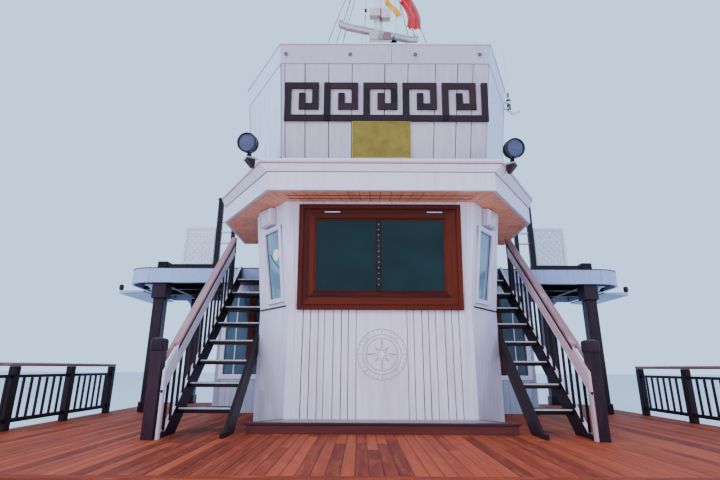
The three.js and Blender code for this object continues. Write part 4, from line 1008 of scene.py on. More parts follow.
def key_fret():
    """Strips of each key, from middle to middle of its corners, then the two that close the band."""
    half = KEY_STRIP / 2
    wide = (2 * KEY_HALF - KEY_STRIP) / KEY_UNITS
    high = KEY_HIGH - KEY_LOW - KEY_STRIP
    left, right = about(KEY_X, KEY_HALF)
    turns = np.array([(0.0, 0.0), (0.0, 1.0), (0.70, 1.0), (0.70, 0.36), (0.36, 0.36), (0.36, 0.68)])
    corner = turns * [wide, high] + [left + half, KEY_LOW + half]
    way = unit(np.diff(corner, axis=0)) * half
    one = np.stack([corner[:-1] - way, corner[1:] + way], 1)
    keys = [one + [i * wide, 0.0] for i in range(KEY_UNITS)]
    closing = [[(right - half, KEY_LOW), (right - half, KEY_HIGH)], [(left, KEY_LOW + half),
                                                                     (right, KEY_LOW + half)]]
    paths = np.concatenate(keys + [np.array(closing)])
    depth = 0.030 + 0.0015 * (np.arange(len(paths)) % 3)
    path = on_screen(paths[..., 0], paths[..., 1], 0.004) + (depth / 2)[:, None, None] * SCREEN_OUT
    side = unit(np.cross(path[:, 1] - path[:, 0], SCREEN_OUT))[:, None]
    piece("key_fret", [boards(path, side, KEY_STRIP, depth[:, None])], key_wood)


screw_eyes()
brass_plate()
key_fret()

# Front step: a low bench of planks along the foot of the front wall, with a dark red riser under a worn
# nosing.
STEP_FRONT, STEP_HALF, STEP_HALF_BACK, STEP_RISE = -0.44, 1.68, 1.31, 0.13
NOSING = 0.09

step_red = timber("step_wood", "step_wood", (0.085, 0.018, 0.019), (0.024, 0.006, 0.007), 0.4, coat=0.1,
                  Specular_IOR_Level=0.3)
step_grey = timber("step_top_wood", "step_wood", (0.30, 0.29, 0.34), (0.17, 0.16, 0.20), 0.5)


def front_step():
    """Profiles carried round three sides, and four boards between fractions of the slanting ends."""
    outline = np.array([(-STEP_HALF_BACK, -2 * GAP), (-STEP_HALF, STEP_FRONT), (STEP_HALF, STEP_FRONT),
                        (STEP_HALF_BACK, -2 * GAP)])
    z = STEP_RISE
    riser = [(0.014, 0.001), (0.014, z - 0.031), (0.036, z - 0.031), (0.036, 0.001)]
    nosing = [(0.0, z - 0.024), (0.0, z - 0.006), (0.006, z), (NOSING, z), (NOSING, z - 0.030),
              (0.006, z - 0.030)]
    piece("step_riser", [mitred(outline, profile, closed=False) for profile in (riser, nosing)], step_red,
          stands_for=["front_step"])
    fraction = np.linspace(0, 1, 5)[:, None]
    left = outline[0] + (outline[1] - outline[0]) * fraction
    right = outline[3] + (outline[2] - outline[3]) * fraction
    left, right = left * [1, 0.78] + [0.105, 0], right * [1, 0.78] - [0.105, 0]
    gap = np.array([0.0, 0.002])
    rows = np.stack([left[1:] + gap, right[1:] + gap, right[:-1] - gap, left[:-1] - gap], 1)
    piece("step_boards", [slab(rows, (0, 0, STEP_RISE - 0.03), depth=0.029, **LEVEL)], step_grey)


front_step()

# Carved ring on the smooth panel under the window: three scribed circles with ticks between the outer two,
# and a plain eight-pointed compass star, all in a thin grey line.
RING_X, RING_Z = 0.02, 0.95
scribed = flat("scribed_line", "mast_paint", (0.20, 0.21, 0.28), 0.6)


def points(x, y, z):
    """Points from their coordinates, each a number or an array."""
    return np.stack(np.broadcast_arrays(x, y, z), -1).astype(float)


def compass_ring():
    """Circles about a centre, 32 radial ticks, and a star of lines between tips and valleys."""
    turn = around(49, True)

    def on_ring(radius, angle):
        """A point at a radius and an angle round the ring's centre."""
        return points(RING_X + radius * np.cos(angle), -0.0012, RING_Z + radius * np.sin(angle))

    lines = [tube(on_ring(r, turn), 0.0035, 6) for r in (0.335, 0.262, 0.215)]
    ticks = around(32)
    long = np.where(np.arange(32) % 4 == 0, 0.275, 0.30)
    path = np.stack([on_ring(long, ticks), on_ring(0.325, ticks)], 1)
    side = np.stack([-np.sin(ticks), np.zeros(32), np.cos(ticks)], -1)[:, None]
    lines.append(boards(path, side, 0.006, 0.004, 0.001))
    n = np.arange(8)
    tip = on_ring(np.where(n % 2 == 0, 0.205, 0.13), n * np.pi / 4)
    valley = on_ring(0.045, (n + 0.5) * np.pi / 4)
    for a, b in ((tip, valley), (tip, np.roll(valley, 1, 0))):
        way = unit(b - a)
        lines.append(boards(np.stack([a, b], 1), np.cross(way, [0, 1.0, 0])[:, None], 0.006, 0.004, 0.001))
    piece("compass_ring", lines, scribed)


compass_ring()

# Mast: a tapered white pole stepped on the roof, with a collar, a bracket for the radar, two junction boxes,
# a crosstree and a truck.
MAST_X, MAST_Y = 0.075, 1.5
MAST_TOP, CROSSTREE, CROSSTREE_HALF = 10.6, 9.0, 0.78
RADAR_X, RADAR_Y, RADAR_LOW = 0.05, 0.6, 6.31
MAST_BOXES = [(-0.112, 0.107, 7.70, 7.89), (0.134, 0.318, 7.65, 7.866)]
mast_white = flat("mast_enamel", "mast_paint", (0.66, 0.68, 0.74), 0.35, 3.0, 0.0004, 0.72, Coat_Weight=0.3)
box_beige = flat("box_enamel", "mast_paint", (0.58, 0.50, 0.46), 0.45, 9.0, 0.0003, 0.7)
box_brown = flat("box_brown", "varnished_wood", (0.24, 0.11, 0.10), 0.45, 9.0, 0.0003, 0.7)


def turned(profile, place=(0, 0, 0), axis=(0, 0, 1), sides=24):
    """A round solid about an axis: rings of (radius, distance along it), with flat ends."""
    profile = np.asarray(profile, float)
    axis = unit(axis)
    side = unit(np.cross(axis, [0.1, 0.9, 0.35] if abs(axis[0]) > 0.8 else [1.0, 0.05, 0.1]))
    other = np.cross(axis, side)
    angle = around(sides)
    circle = np.cos(angle)[:, None] * side + np.sin(angle)[:, None] * other
    rings = np.asarray(place, float) + profile[:, None, 1:] * axis + profile[:, None, :1] * circle
    run = np.broadcast_to(profile[:, 1:], rings.shape[:2])
    grain = np.stack([run, profile[:, :1] * np.cos(angle), profile[:, :1] * np.sin(angle)], -1)
    return shell(rings[None], grain[None])


def mast():
    """A pole turned about its axis, whose radius falls in a straight line with height."""
    foot = ROOF_TOP + 0.001
    z = np.linspace(foot + 0.06, MAST_TOP, 30)
    taper = 0.125 - 0.065 * (z - foot) / (MAST_TOP - foot)
    pole = [(0.205, foot), (0.21, foot + 0.01), (0.21, foot + 0.03), (0.2, foot + 0.04), (0.128, foot + 0.05),
            *zip(taper, z), (0.074, MAST_TOP + 0.001), (0.075, MAST_TOP + 0.03), (0.06, MAST_TOP + 0.04)]
    at_mast = (MAST_X, MAST_Y, 0)
    bands = [turned([(r + 0.001, z - 0.03), (r + 0.008, z - 0.028), (r + 0.008, z + 0.028),
                     (r + 0.001, z + 0.03)], at_mast) for z, r in ((5.9, 0.103), (6.8, 0.094), (7.7, 0.087),
                                                                   (8.9, 0.076), (9.7, 0.069))]
    x, y, z = RADAR_X, RADAR_Y, RADAR_LOW
    arms = [beams(about(x, 0.17), about(y, 0.19), (z - 0.03, z - FIT), 0.003),
            beams(about(x, 0.06), (y, MAST_Y), (z - 0.075, z - 0.031), 0.003),
            boards([[(x, y + 0.06, z - 0.08), (x, MAST_Y - 0.04, z - 0.56)]], [1, 0, 0], 0.06, 0.06),
            beams(about(MAST_X, CROSSTREE_HALF), about(MAST_Y, 0.03), (CROSSTREE, CROSSTREE + 0.06), 0.008)]
    piece("mast_pole", [turned(pole, at_mast, sides=32)] + bands + arms, mast_white, stands_for=["mast"])
    made = []
    for x0, x1, z0, z1 in MAST_BOXES:
        made.append(beams((x0 + 0.005, x1 - 0.005), (MAST_Y - 0.17, MAST_Y - 0.05), (z0 + 0.005, z1 - 0.005),
                          0.006))
        made.append(beams((x0, x1), (MAST_Y - 0.19, MAST_Y - 0.171), (z0, z1)))
    piece("mast_boxes", made, box_beige)
    hinge = beams((0.107, 0.134), (MAST_Y - 0.192, MAST_Y - 0.06), (z0 - 0.004, z1 + 0.004), 0.003)
    piece("mast_box_hinge", [hinge], box_brown)


mast()

# Standing rigging and halyards: thin grey wire from a collar near the masthead to eye plates on the roof, and
# light lines from the crosstree, one with a small block.
STAY_FROM = 10.25
EYE_PLATES = [(1.93, 1.0), (1.8, 1.75), (1.55, 1.95)]
wire = flat("stay_wire", "stay_wire", (0.10, 0.13, 0.16), 0.45, 40.0, Metallic=0.6)
rope = flat("halyard_rope", "stay_wire", (0.30, 0.30, 0.30), 0.8, 60.0)


def rigging():
    """Straight tubes from the mast to each eye plate, and from the crosstree to the roof."""
    radius = 0.125 - 0.065 * (STAY_FROM - ROOF_TOP) / (MAST_TOP - ROOF_TOP)
    made = [turned([(radius + 0.002, -0.04), (radius + 0.014, -0.036), (radius + 0.014, 0.036),
                    (radius + 0.002, 0.04)], (MAST_X, MAST_Y, STAY_FROM))]
    for x, y in EYE_PLATES:
        for side in (PORT, STBD):
            foot = np.array([side * x, y, ROOF_TOP + 0.012])
            away = unit([foot[0] - MAST_X, y - MAST_Y, 0.0]) * (radius + 0.009)
            head = np.array([MAST_X, MAST_Y, STAY_FROM - 0.02]) + away
            made += [tube([head, foot], 0.007, 6), tube([foot, foot + (head - foot) * 0.045], 0.016, 8),
                     beams(about(foot[0], 0.035), about(y, 0.035), (ROOF_TOP + FIT, ROOF_TOP + 0.014),
                           0.002)]
    piece("stays", made, wire, stands_for=["mast_stays"])
    lines, blocks = [], []
    for x, foot in ((-0.185, -0.205), (-0.445, -1.045), (0.435, 0.475), (0.695, 1.055)):
        head = np.array([x, MAST_Y, CROSSTREE - 0.002])
        lines.append(tube([head, (foot, MAST_Y - 0.02, ROOF_TOP + 0.05)], 0.005, 6))
        blocks += [turned([(0.004, -0.045), (0.022, -0.03), (0.022, 0.03), (0.004, 0.045)],
                          head - [0, 0, 0.07], sides=10), beams(about(foot, 0.07),
                                                                (MAST_Y - 0.03, MAST_Y - 0.01),
                                                                (ROOF_TOP + 0.04, ROOF_TOP + 0.06)),
                   beams(about(foot, 0.015), (MAST_Y - 0.035, MAST_Y - 0.005), (ROOF_TOP + FIT,
                                                                                ROOF_TOP + 0.05), 0.003)]
    block = np.array([-0.187, MAST_Y - 0.01, 7.98])
    blocks.append(turned([(0.004, -0.05), (0.026, -0.03), (0.026, 0.03), (0.004, 0.05)], block, sides=10))
    lines.append(tube([block - [0, 0, 0.05], (-0.675, MAST_Y - 0.02, ROOF_TOP + 0.05)], 0.005, 6))
    piece("halyards", lines, rope)
    piece("halyard_blocks", blocks, black)


rigging()

# Radar: two boxes on a plate over the mast's bracket, and between them a column with a bar that turns on it.
# The bar has upturned ends with a half-round cap on each.
SCANNER_LOW = 6.546
SCANNER_HALF, SCANNER_DEEP, SCANNER_TURN = 0.76, 0.08, 0.27
UPRIGHT = {"across": (1, 0, 0), "up": (0, 0, 1)}
radar_paint = flat("radar_enamel", "radar_paint", (0.52, 0.42, 0.42), 0.4, 5.0, 0.0003, 0.75,
                   Coat_Weight=0.25)
# A blue-grey copy of the radar's pinkish paint for the top of the scanner bar: painted sky light on its upper
# face.
radar_sky_lit_top = flat("radar_sky_lit_blue_grey", "radar_paint", (0.30, 0.40, 0.46), 0.4, 5.0, 0.0003, 0.75,
                 Coat_Weight=0.25)
cap_green = flat("cap_green", "lamp_metal", (0.06, 0.12, 0.11), 0.35, 6.0, Coat_Weight=0.4)


def turned_about(shells, angle, place):
    """The same shells turned about an upright axis."""
    c, s = math.cos(angle), math.sin(angle)
    turn = np.array([[c, s, 0], [-s, c, 0], [0, 0, 1.0]])
    return [((p - place) @ turn + place, grain, tone, faces) for p, grain, tone, faces in shells]


def radar():
    """Boxes and a turned neck. The bar is a slab with a mirrored outline, turned about the neck's axis."""
    x, y, low = RADAR_X, RADAR_Y, RADAR_LOW + 0.001
    plate = beams((x - 0.184, x + 0.199), about(y, 0.19), (low, low + 0.034), 0.006)
    left = beams((x - 0.184, x - 0.014), (y - 0.19, y - 0.07), (low + 0.034, low + 0.249), 0.012, along=2)
    neck = turned([(0.075, 0.033), (0.075, 0.2), (0.070, 0.229)], (x, y, low), sides=28)
    hatch = beams((x - 0.164, x - 0.034), (y - 0.194, y - 0.189), (low + 0.06, low + 0.22))
    piece("radar_housing", [plate, left, neck, hatch], radar_paint, stands_for=["radar_pedestal"])
    right = beams((x + 0.066, x + 0.199), (y - 0.19, y - 0.07), (low + 0.034, low + 0.209), 0.010, along=2)
    piece("radar_cover", [right], box_brown)
    half = SCANNER_HALF
    port = [(half - 0.17, 0.0), (half - 0.03, 0.025), (half, 0.060), (half, 0.112), (half - 0.17, 0.074)]
    lid = [(half - 0.17, 0.076), (half, 0.114), (half, 0.150), (half - 0.17, 0.110)]
    under, lid = (np.array([(-a, b) for a, b in line[::-1]] + line) for line in (port, lid))
    under, lid = np.roll(under, -2, 0), np.roll(lid, -2, 0)
    at = {"place": (x, y + SCANNER_DEEP / 2, SCANNER_LOW + 0.04), "depth": SCANNER_DEEP, **UPRIGHT}
    bar = [slab(under, arris=0.006, **at),
           turned([(0.06, 0), (0.06, 0.035), (0.075, 0.041)], (x, y, SCANNER_LOW + FIT))]
    # The bar's top band is in the blue-grey copy: painted sky light.
    top = [slab(lid, arris=0.004, **at)]
    lift = np.linspace(0, np.pi / 2 - 0.05, 7)
    dome = np.stack([0.039 * np.cos(lift), 0.04 * np.sin(lift)], -1)
    caps = [turned(dome, (x + side * 0.705, y, SCANNER_LOW + 0.172), sides=20) for side in (-1, 1)]
    for name, shells, finish, nodes in (("scanner_bar", bar, radar_paint, ["radar_scanner"]),
                                        ("scanner_sky_lit_top", top, radar_sky_lit_top, ()), ("scanner_caps", caps, cap_green,
                                                                              ())):
        piece(name, turned_about(shells, SCANNER_TURN, np.array([x, y, 0])), finish, "radar", nodes)


radar()

# Bell lamp: a black bell on a short arm beside the radar's housing. A thin post at the arm's end reaches up
# into its open mouth.
def bell_lamp():
    """A profile turned about an upright axis, on square rods."""
    x, y, z, low = 0.306, 0.5, 6.375, RADAR_LOW - 0.025
    bell = [(0.006, 0.123), (0.014, 0.12), (0.017, 0.09), (0.030, 0.06), (0.047, 0.02), (0.055, 0.0),
            (0.048, 0.001), (0.024, 0.03), (0.006, 0.05)]
    arm = beams((RADAR_X + 0.15, x + 0.012), about(y, 0.012), (low, low + 0.02), 0.003)
    post = beams(about(x, 0.012), about(y, 0.012), (low, z + 0.04), 0.003)
    piece("bell_lamp", [turned(bell, (x, y, z), sides=20), arm, post], black)


bell_lamp()

# Signal flags: a narrow yellow one and a longer red one, of light bunting on the crosstree's lines. They
# stream down and to port, gathered in folds that run along them.
def bunting(name, slot, colour, deep):
    """Fine woven noise for relief, and soft noise along the cloth between the two colours."""
    def paint(f):
        thread = f.grain()
        weave = thread.scaled(420, 420, 1).noise(1.0, 1.0)
        soft = thread.scaled(5, 3, 1).noise(1.0)
        return {"Base_Color": soft.between(0.3, 0.7).mix(colour, deep), "Roughness": soft * 0.2 + 0.65,
                "bump": (weave, 0.0004)}

    return finish_of(name, slot, paint, Sheen_Weight=0.3)


def flag(name, x, top, high, long, band, fall, folds, finish, node):
    """Cloth from a hoist edge down a slope that changes from one angle to another, gathered into a band.

    Its folds are sine waves across the band, just deep enough to take up all the cloth."""
    s, t = np.meshgrid(np.linspace(0, 1, 60), np.linspace(0, 1, 40), indexing="ij")
    slope = fall[0] + (fall[1] - fall[0]) * s
    run_x, run_z = (np.cumsum(way(slope[:, 0]))[:, None] / len(s) * long for way in (np.cos, np.sin))
    part = np.clip(s / 0.25, 0, 1)
    gathered = part * part * (3 - 2 * part)
    across_x = -np.sin(slope) * band * gathered
    across_z = -np.cos(slope) * band * gathered - high * (1 - gathered)
    wide = np.hypot(across_x, across_z)[:, :1]
    phase = 2 * np.pi * folds * np.linspace(0, 1, 161)
    low, deep = np.zeros_like(wide), np.full_like(wide, 0.1)
    for _ in range(24):
        depth = (low + deep) / 2
        taken = np.hypot(wide, 2 * np.pi * folds * depth * np.cos(phase)).mean(1, keepdims=True)
        low, deep = np.where(taken < high, depth, low), np.where(taken < high, deep, depth)
    wave = depth * np.sin(2 * np.pi * folds * t + 2.2 * s) + 0.05 * np.sin(5.2 * s)
    cloth = points(x + run_x + across_x * t, MAST_Y + wave, top - run_z + across_z * t)
    grain = points(s * long, t * high, 0)
    made = piece(name, [shell(cloth[None], grain[None], closed=False)], finish, stands_for=[node], sharp=180)
    line = tube([(x, MAST_Y, CROSSTREE), (x, MAST_Y, top - high - 0.35)], 0.005, 6)
    piece(name + "_line", [line], rope)


flag("yellow_flag", 0.215, 8.42, 0.26, 0.70, 0.12, (0.85, 1.2), 2.0,
     bunting("yellow_bunting", "yellow_cloth", (0.90, 0.58, 0.02), (0.70, 0.36, 0.01)), "flag_yellow")
flag("red_flag", 0.54, 8.65, 0.40, 1.30, 0.28, (0.75, 1.75), 2.5,
     bunting("red_bunting", "red_cloth", (0.70, 0.012, 0.015), (0.42, 0.006, 0.012)), "flag_red")

# Searchlights: a round lamp stands on each corner of the eave. A wooden wedge on the crown's canted face
# carries a black plate, a fork on a thick stem turns on it, and the lamp tips on the fork's pin. The
# starboard one is higher.
LAMP_PIN = np.array([1.85, -0.50, 3.59])
LAMP_RISE, LAMP_SEAT, LAMP_UP, LAMP_RADIUS = 0.07, 0.06, 0.15, 0.14
LAMP_PAN, LAMP_TIP = math.radians(7), math.radians(14)
FACING_PORT = {"across": (0, 1, 0), "up": (0, 0, 1)}
lens_glass = finish_of("lamp_lens", "pale_glass", lambda f: {}, Base_Color=(0.10, 0.11, 0.22, 1),
                       Roughness=0.05, Alpha=0.45, Coat_Weight=0.6, Coat_Roughness=0.03)
dim_reflector = flat("dim_reflector", "stay_wire", (0.42, 0.43, 0.56), 0.18, 20.0, Metallic=1.0)
plate_grey = flat("plate_enamel", "lamp_metal", (0.26, 0.26, 0.30), 0.35, 14.0, Specular_IOR_Level=0.35)
corbel_wood = timber("corbel_wood", "dark_wood", (0.034, 0.008, 0.009), (0.010, 0.004, 0.005), 0.45,
                     Specular_IOR_Level=0.25)


def aimed(shells):
    """Shells made round the pin, tipped down and turned to port, and set on the pin."""
    c, s = math.cos(LAMP_TIP), math.sin(LAMP_TIP)
    tip = np.array([[1.0, 0, 0], [0, c, s], [0, -s, c]])
    tipped = [(p @ tip, grain, tone, faces) for p, grain, tone, faces in shells]
    return moved(turned_about(tipped, LAMP_PAN, np.zeros(3)), LAMP_PIN)


def lamp_seats():
    """The wedge and the plate on the crown's canted face."""
    corner, end = (np.array([*MOULDING_LINE[key], 0.0]) for key in ("front", "side"))
    along = unit(end - corner)
    out = np.cross(along, [0, 0, 1.0])
    foot = corner + along * np.dot(LAMP_PIN * [1, 1, 0] - corner, along)
    top = LAMP_PIN[2] - LAMP_SEAT

    def on_crown(*rings):
        """A solid that stands out from the crown, through rings of (half width, reach, drop from the
        seat)."""
        return shell([[[foot + out * a + along * b + [0, 0, top - drop]
                        for a, b in ((FIT, -half), (reach, -half), (reach, half), (FIT, half))]
                       for half, reach, drop in rings]])

    wedge = on_crown((0.028, 0.045, 0.13), (0.064, 0.117, 0.03), (0.066, 0.122, 0.0255))
    plate = on_crown((0.072, 0.127, 0.025), (0.075, 0.13, 0.022), (0.075, 0.13, 0.003),
                     (0.072, 0.127, GAP))
    pair("lamp_corbels", [wedge], corbel_wood, rise=LAMP_RISE)
    pair("lamp_plates", [plate], plate_grey, stands_for=["searchlight_base"], rise=LAMP_RISE)


def lamp_forks():
    """A stem turned about an upright axis with two flat cheeks, turned to its pan at the pin."""
    seat = -LAMP_SEAT + GAP
    fork = [turned([(0.050, seat), (0.050, seat + 0.008), (0.046, seat + 0.012), (0.038, seat + 0.014),
                    (0.038, -0.028), (0.034, -0.024)], sides=20)]
    cheek = [(-0.013, -0.030), (0.013, -0.030), (0.013, 0.005), (0.008, 0.011), (-0.008, 0.011),
             (-0.013, 0.005)]
    fork += [slab(cheek, (start, 0, 0), depth=0.0118, arris=0.002, **FACING_PORT) for start in (-0.026,
                                                                                                0.0142)]
    fork += [turned([(0.010, 0.0), (0.010, 0.005), (0.004, 0.007)], (side * 0.026, 0, 0), (side, 0, 0), 6)
             for side in (-1, 1)]
    pan = moved(turned_about(fork, LAMP_PAN, np.zeros(3)), LAMP_PIN)
    pair("lamp_forks", pan, black, "fork", ["searchlight_fork"], LAMP_RISE)


def lamp_heads():
    """Profiles turned about the lamp's own axis. The dish is a parabola, the lens a flatter one."""
    r = LAMP_RADIUS

    def round_parts(*profiles, sides=40):
        """Profiles turned about the lamp's own axis."""
        return [turned(profile, (0, 0, LAMP_UP), (0, 1, 0), sides) for profile in profiles]

    hull = [(0.010, 0.118), (r * 0.3, 0.116), (r * 0.6, 0.102), (r * 0.82, 0.075), (r * 0.92, 0.035),
            (r * 0.94, 0.0), (r * 0.94, -0.060), (r, -0.064), (r, -0.094), (r * 0.97, -0.100),
            (r * 0.86, -0.100), (r * 0.84, -0.070), (r * 0.84, -0.050), (r * 0.6, 0.0), (0.010, 0.02)]
    lug = [(-0.014, -0.008), (-0.008, -0.015), (0.008, -0.015), (0.014, -0.008), (0.014, 0.031),
           (-0.014, 0.031)]
    head = round_parts(hull) + [slab(lug, (-0.011, 0, 0), depth=0.022, arris=0.002, **FACING_PORT)]
    head += round_parts(*([(r * 0.92, y - 0.003), (r * 0.975, y - 0.002), (r * 0.975, y + 0.002),
                           (r * 0.92, y + 0.003)] for y in (-0.045, -0.030, -0.015, 0.0, 0.015)))
    dish = [(q, 0.012 - 0.062 * (q / (r * 0.83)) ** 2) for q in np.linspace(0.06, 1, 10) * r * 0.83]
    back = [(q, h + 0.003) for q, h in dish[::-1]]
    bulb = [(0.004, -0.055), (0.018, -0.048), (0.024, -0.030), (0.018, -0.01), (0.012, 0.012)]
    crown = [(q, -0.084 - 0.010 * (1 - (q / (r * 0.85)) ** 2)) for q in np.linspace(1, 0.03, 9) * r * 0.85]
    at = {"body": "head", "rise": LAMP_RISE}
    pair("lamp_drums", aimed(head), black, stands_for=["searchlight_head"], **at)
    pair("lamp_reflectors", aimed(round_parts(dish + back, sides=32)), dim_reflector, **at)
    pair("lamp_bulbs", aimed(round_parts(bulb, sides=16)), black, slot="radar_paint", **at)
    pair("lamp_lenses", aimed(round_parts([(r * 0.85, -0.078)] + crown)), lens_glass, **at)


def lamp_leads():
    """A straight line from lamp to screen, lowered by 0.22 t (1 - t)."""
    t = np.linspace(0, 1, 14)[:, None]
    leads = []
    for side, rise, end in ((PORT, 0.0, (1.55, -0.262, 3.70)), (STBD, LAMP_RISE, (-1.44, -0.262, 3.74))):
        first = (LAMP_PIN + [-0.09, 0.06, 0.02 - LAMP_SEAT]) * [side, 1, 1] + [0, 0, rise]
        leads.append(tube(first + (np.array(end) - first) * t - [0, 0, 0.22] * t * (1 - t), 0.007, 8))
    piece("lamp_leads", leads, black)


lamp_seats()
lamp_forks()
lamp_heads()
lamp_leads()

# Whip aerial: a steel whip in a socket clamped to the port side of the roof screen, with a coil of its own
# lead.
def whip():
    """Profiles turned about the whip's axis. The lead is a helix of six turns, then an ellipse."""
    x, y = 2.39, 0.88
    low, high = FRIEZE + 0.02, SCREEN_TOP - 0.11
    half = [screen_line(z)["side"][0] + 0.0125 for z in (low, high)]
    plate = boards([[(half[0] + 0.004, y, low), (half[1] + 0.004, y, high)]], [0, 1, 0], 0.09, 0.008, 0.002)
    socket = turned([(0.014, 5.20), (0.022, 5.21), (0.022, 5.50)], (x, y, 0), sides=16)
    whole = turned([(0.009, 5.59), (0.008, 6.0), (0.004, 6.69)], (x, y, 0), sides=8)
    clamps = [beams((start + 0.006, x + 0.01), about(y, 0.025), (z, z + 0.03), 0.003)
              for start, z in zip(half, (low + 0.01, high - 0.05))]
    piece("whip_aerial_mount", [plate, socket, whole] + clamps, mast_white, stands_for=["whip_aerial"],
          slot="radar_paint")
    holder = turned([(0.022, 5.501), (0.022, 5.58), (0.015, 5.60)], (x, y, 0), sides=16)
    piece("whip_aerial_holder", [holder], box_brown)
    disc = turned([(0.022, high - 0.004), (0.042, high), (0.042, high + 0.016), (0.022, high + 0.02)],
                  (x, y, 0), sides=24)
    t = np.linspace(0, 12 * np.pi, 120)
    coil = points(x + 0.029 * np.cos(t), y + 0.029 * np.sin(t), 5.23 + 0.13 * t / t[-1])
    t = around(25, True)
    loop = points(x + 0.10 + 0.085 * np.cos(t), y - 0.03 + 0.02 * np.sin(t), 5.165 + 0.030 * np.cos(t) + 0.025
                  * np.sin(t))
    lead = [coil[0], (x + 0.02, y - 0.03, 5.20), loop[12]]
    piece("whip_aerial_lead", [tube(coil, 0.006, 8), tube(loop, 0.004, 8), tube(lead, 0.004, 8), disc], black)


whip()

# Stairs: two dark strings and eight open treads on each side, the inner string scribed to the leaning wall. A
# pale strip lies on the outer string's edge, and each tread has a bright metal nosing.
STAIR_FOOT, RISE, RUN, TREADS = -0.70, 0.290, 0.314, 8
STAIR_INNER = 1.805
STAIR_OUTER = {PORT: 2.390, STBD: 2.565}
STAIR_START, STAIR_END = -0.8147, ROOF_DECK_FORE - 2 * GAP
STRING, LIFT, DROP, TREAD = 0.045, 0.06, 0.30, 0.06
GOING = 0.29
UP_STAIR, OFF_STAIR = unit([0, RUN, RISE]), unit([0, -RISE, RUN])
nosing_metal = flat("nosing_metal", "stay_wire", (0.62, 0.60, 0.62), 0.4, 25.0, Metallic=0.5)
strip_pale = flat("strip_pale", "white_paint", (0.55, 0.55, 0.66), 0.45)


def nosing_line(y):
    """The height of the line of nosings at y: the distance from the foot times rise over run."""
    return (np.asarray(y, float) - STAIR_FOOT) * RISE / RUN


def by_side(name, make, finish, node=None):
    """A piece on each side: make(side) gives the shells as they would be to port."""
    made = {"_port": make(PORT), "_stbd": mirrored(make(STBD))}
    for hand, shells in made.items():
        own = finish[hand] if isinstance(finish, dict) else finish
        piece(name + hand, shells, own, stands_for=[node + hand] if node else ())


def raked(x0, x1, outline, arris=0.004):
    """An upright board from x0 to x1 with an outline of (y, z), whose grain runs up the stair."""
    outline = np.asarray(outline, float)
    line = np.stack([outline @ UP_STAIR[1:], outline @ OFF_STAIR[1:]], -1)
    return slab(line, (x0, 0, 0), UP_STAIR, OFF_STAIR, x1 - x0, arris)


def stair_strings(side):
    """Raked boards. The inner one is cut at the sill, and above it leans out with the wall."""
    outer = STAIR_OUTER[side]
    toe = [(STAIR_START, 2 * GAP), (STAIR_FOOT + DROP * RUN / RISE, 2 * GAP)]
    head = [(STAIR_END, nosing_line(STAIR_END) - DROP), (STAIR_END, nosing_line(STAIR_END) - 0.045),
            (STAIR_END - 0.06, nosing_line(STAIR_END - 0.06) + LIFT)]
    foot = [(STAIR_FOOT, LIFT), (STAIR_START, LIFT)]
    sill = [(STAIR_FOOT + (SILL + d) * RUN / RISE, SILL) for d in (DROP, -LIFT)]
    low = raked(STAIR_INNER, STAIR_INNER + STRING, toe + sill + foot)
    points, *rest = raked(STAIR_INNER, STAIR_INNER + STRING, sill[:1] + head + sill[1:])
    leaning = points + (points[:, 2:] - SILL) * [WALL_LEAN, 0, 0]
    return [raked(outer - STRING, outer, toe + head + foot), low, (leaning, *rest)]


def string_strips(side):
    """A thin board along the outer string's upper edge."""
    y = np.array([STAIR_FOOT, STAIR_END - 0.06])
    path = points(STAIR_OUTER[side] - STRING / 2, y, nosing_line(y) + LIFT + 0.0035)
    return [boards(path[None], [1, 0, 0], STRING + 0.002, 0.006, 0.001)]


def stair_treads(side, inner=0.005, outer=FIT, fore=0.0, deep=GOING, low=TREAD, high=0.0, arris=0.005):
    """The treads, or a part of each: its gaps to the strings, and its reach from the tread's front edge."""
    n = np.arange(1, TREADS + 1)
    y, z = STAIR_FOOT + n * RUN, n * RISE
    start = STAIR_INNER + np.clip(z - SILL, 0, None) * WALL_LEAN + inner
    return [beams((start, STAIR_OUTER[side] - STRING - outer), (y - fore, y + deep), (z - low, z + high),
                  arris, along=0)]


def tread_nosings(side):
    """The front edge of each tread as a thin strip."""
    return stair_treads(side, STRING + 0.01, 0.01, 0.003, 0.03, 0.016, 0.003, 0.002)


by_side("stair_strings", stair_strings, dark_wood, "stair")
by_side("string_strips", string_strips, strip_pale)
by_side("stair_treads", stair_treads, dark_wood)
by_side("tread_nosings", tread_nosings, nosing_metal)

# Stair rails: a wide hand board, a deep board on edge below its inboard side with a dark fillet between them,
# and dark balusters. Near the foot the hand board narrows and the other deepens, and a plumb leg stands on
# the deck.
RAIL_OVER, RAIL_INBOARD, RAIL_WIDE, RAIL_THICK = 1.0, 0.03, 0.10, 0.054
RAIL_NARROWS, RAIL_FOOT, RAIL_HEAD = -0.63, -0.95, 1.48
UNDER_THICK, UNDER_TOP, UNDER_DEEP, UNDER_LOW = 0.032, 0.110, 0.035, 0.270
BALUSTER, BALUSTER_IN, HEAD_POST = 0.028, 0.02, 0.06
rail_top = timber("rail_varnish", "rail_wood", (0.30, 0.16, 0.175), (0.17, 0.070, 0.080), 0.42, coat=0.1,
                  wear=(0.44, 0.37, 0.41, 0.5))
rail_pale = {
    "_port": timber("rail_paint_port", "rail_wood", (0.55, 0.42, 0.45), (0.34, 0.22, 0.25), 0.45, coat=0.1,
                    wear=(0.40, 0.24, 0.24, 0.4)),
    "_stbd": timber("rail_paint_stbd", "rail_wood", (0.56, 0.56, 0.66), (0.38, 0.34, 0.42), 0.45, coat=0.1,
                    wear=(0.38, 0.26, 0.28, 0.4)),
}


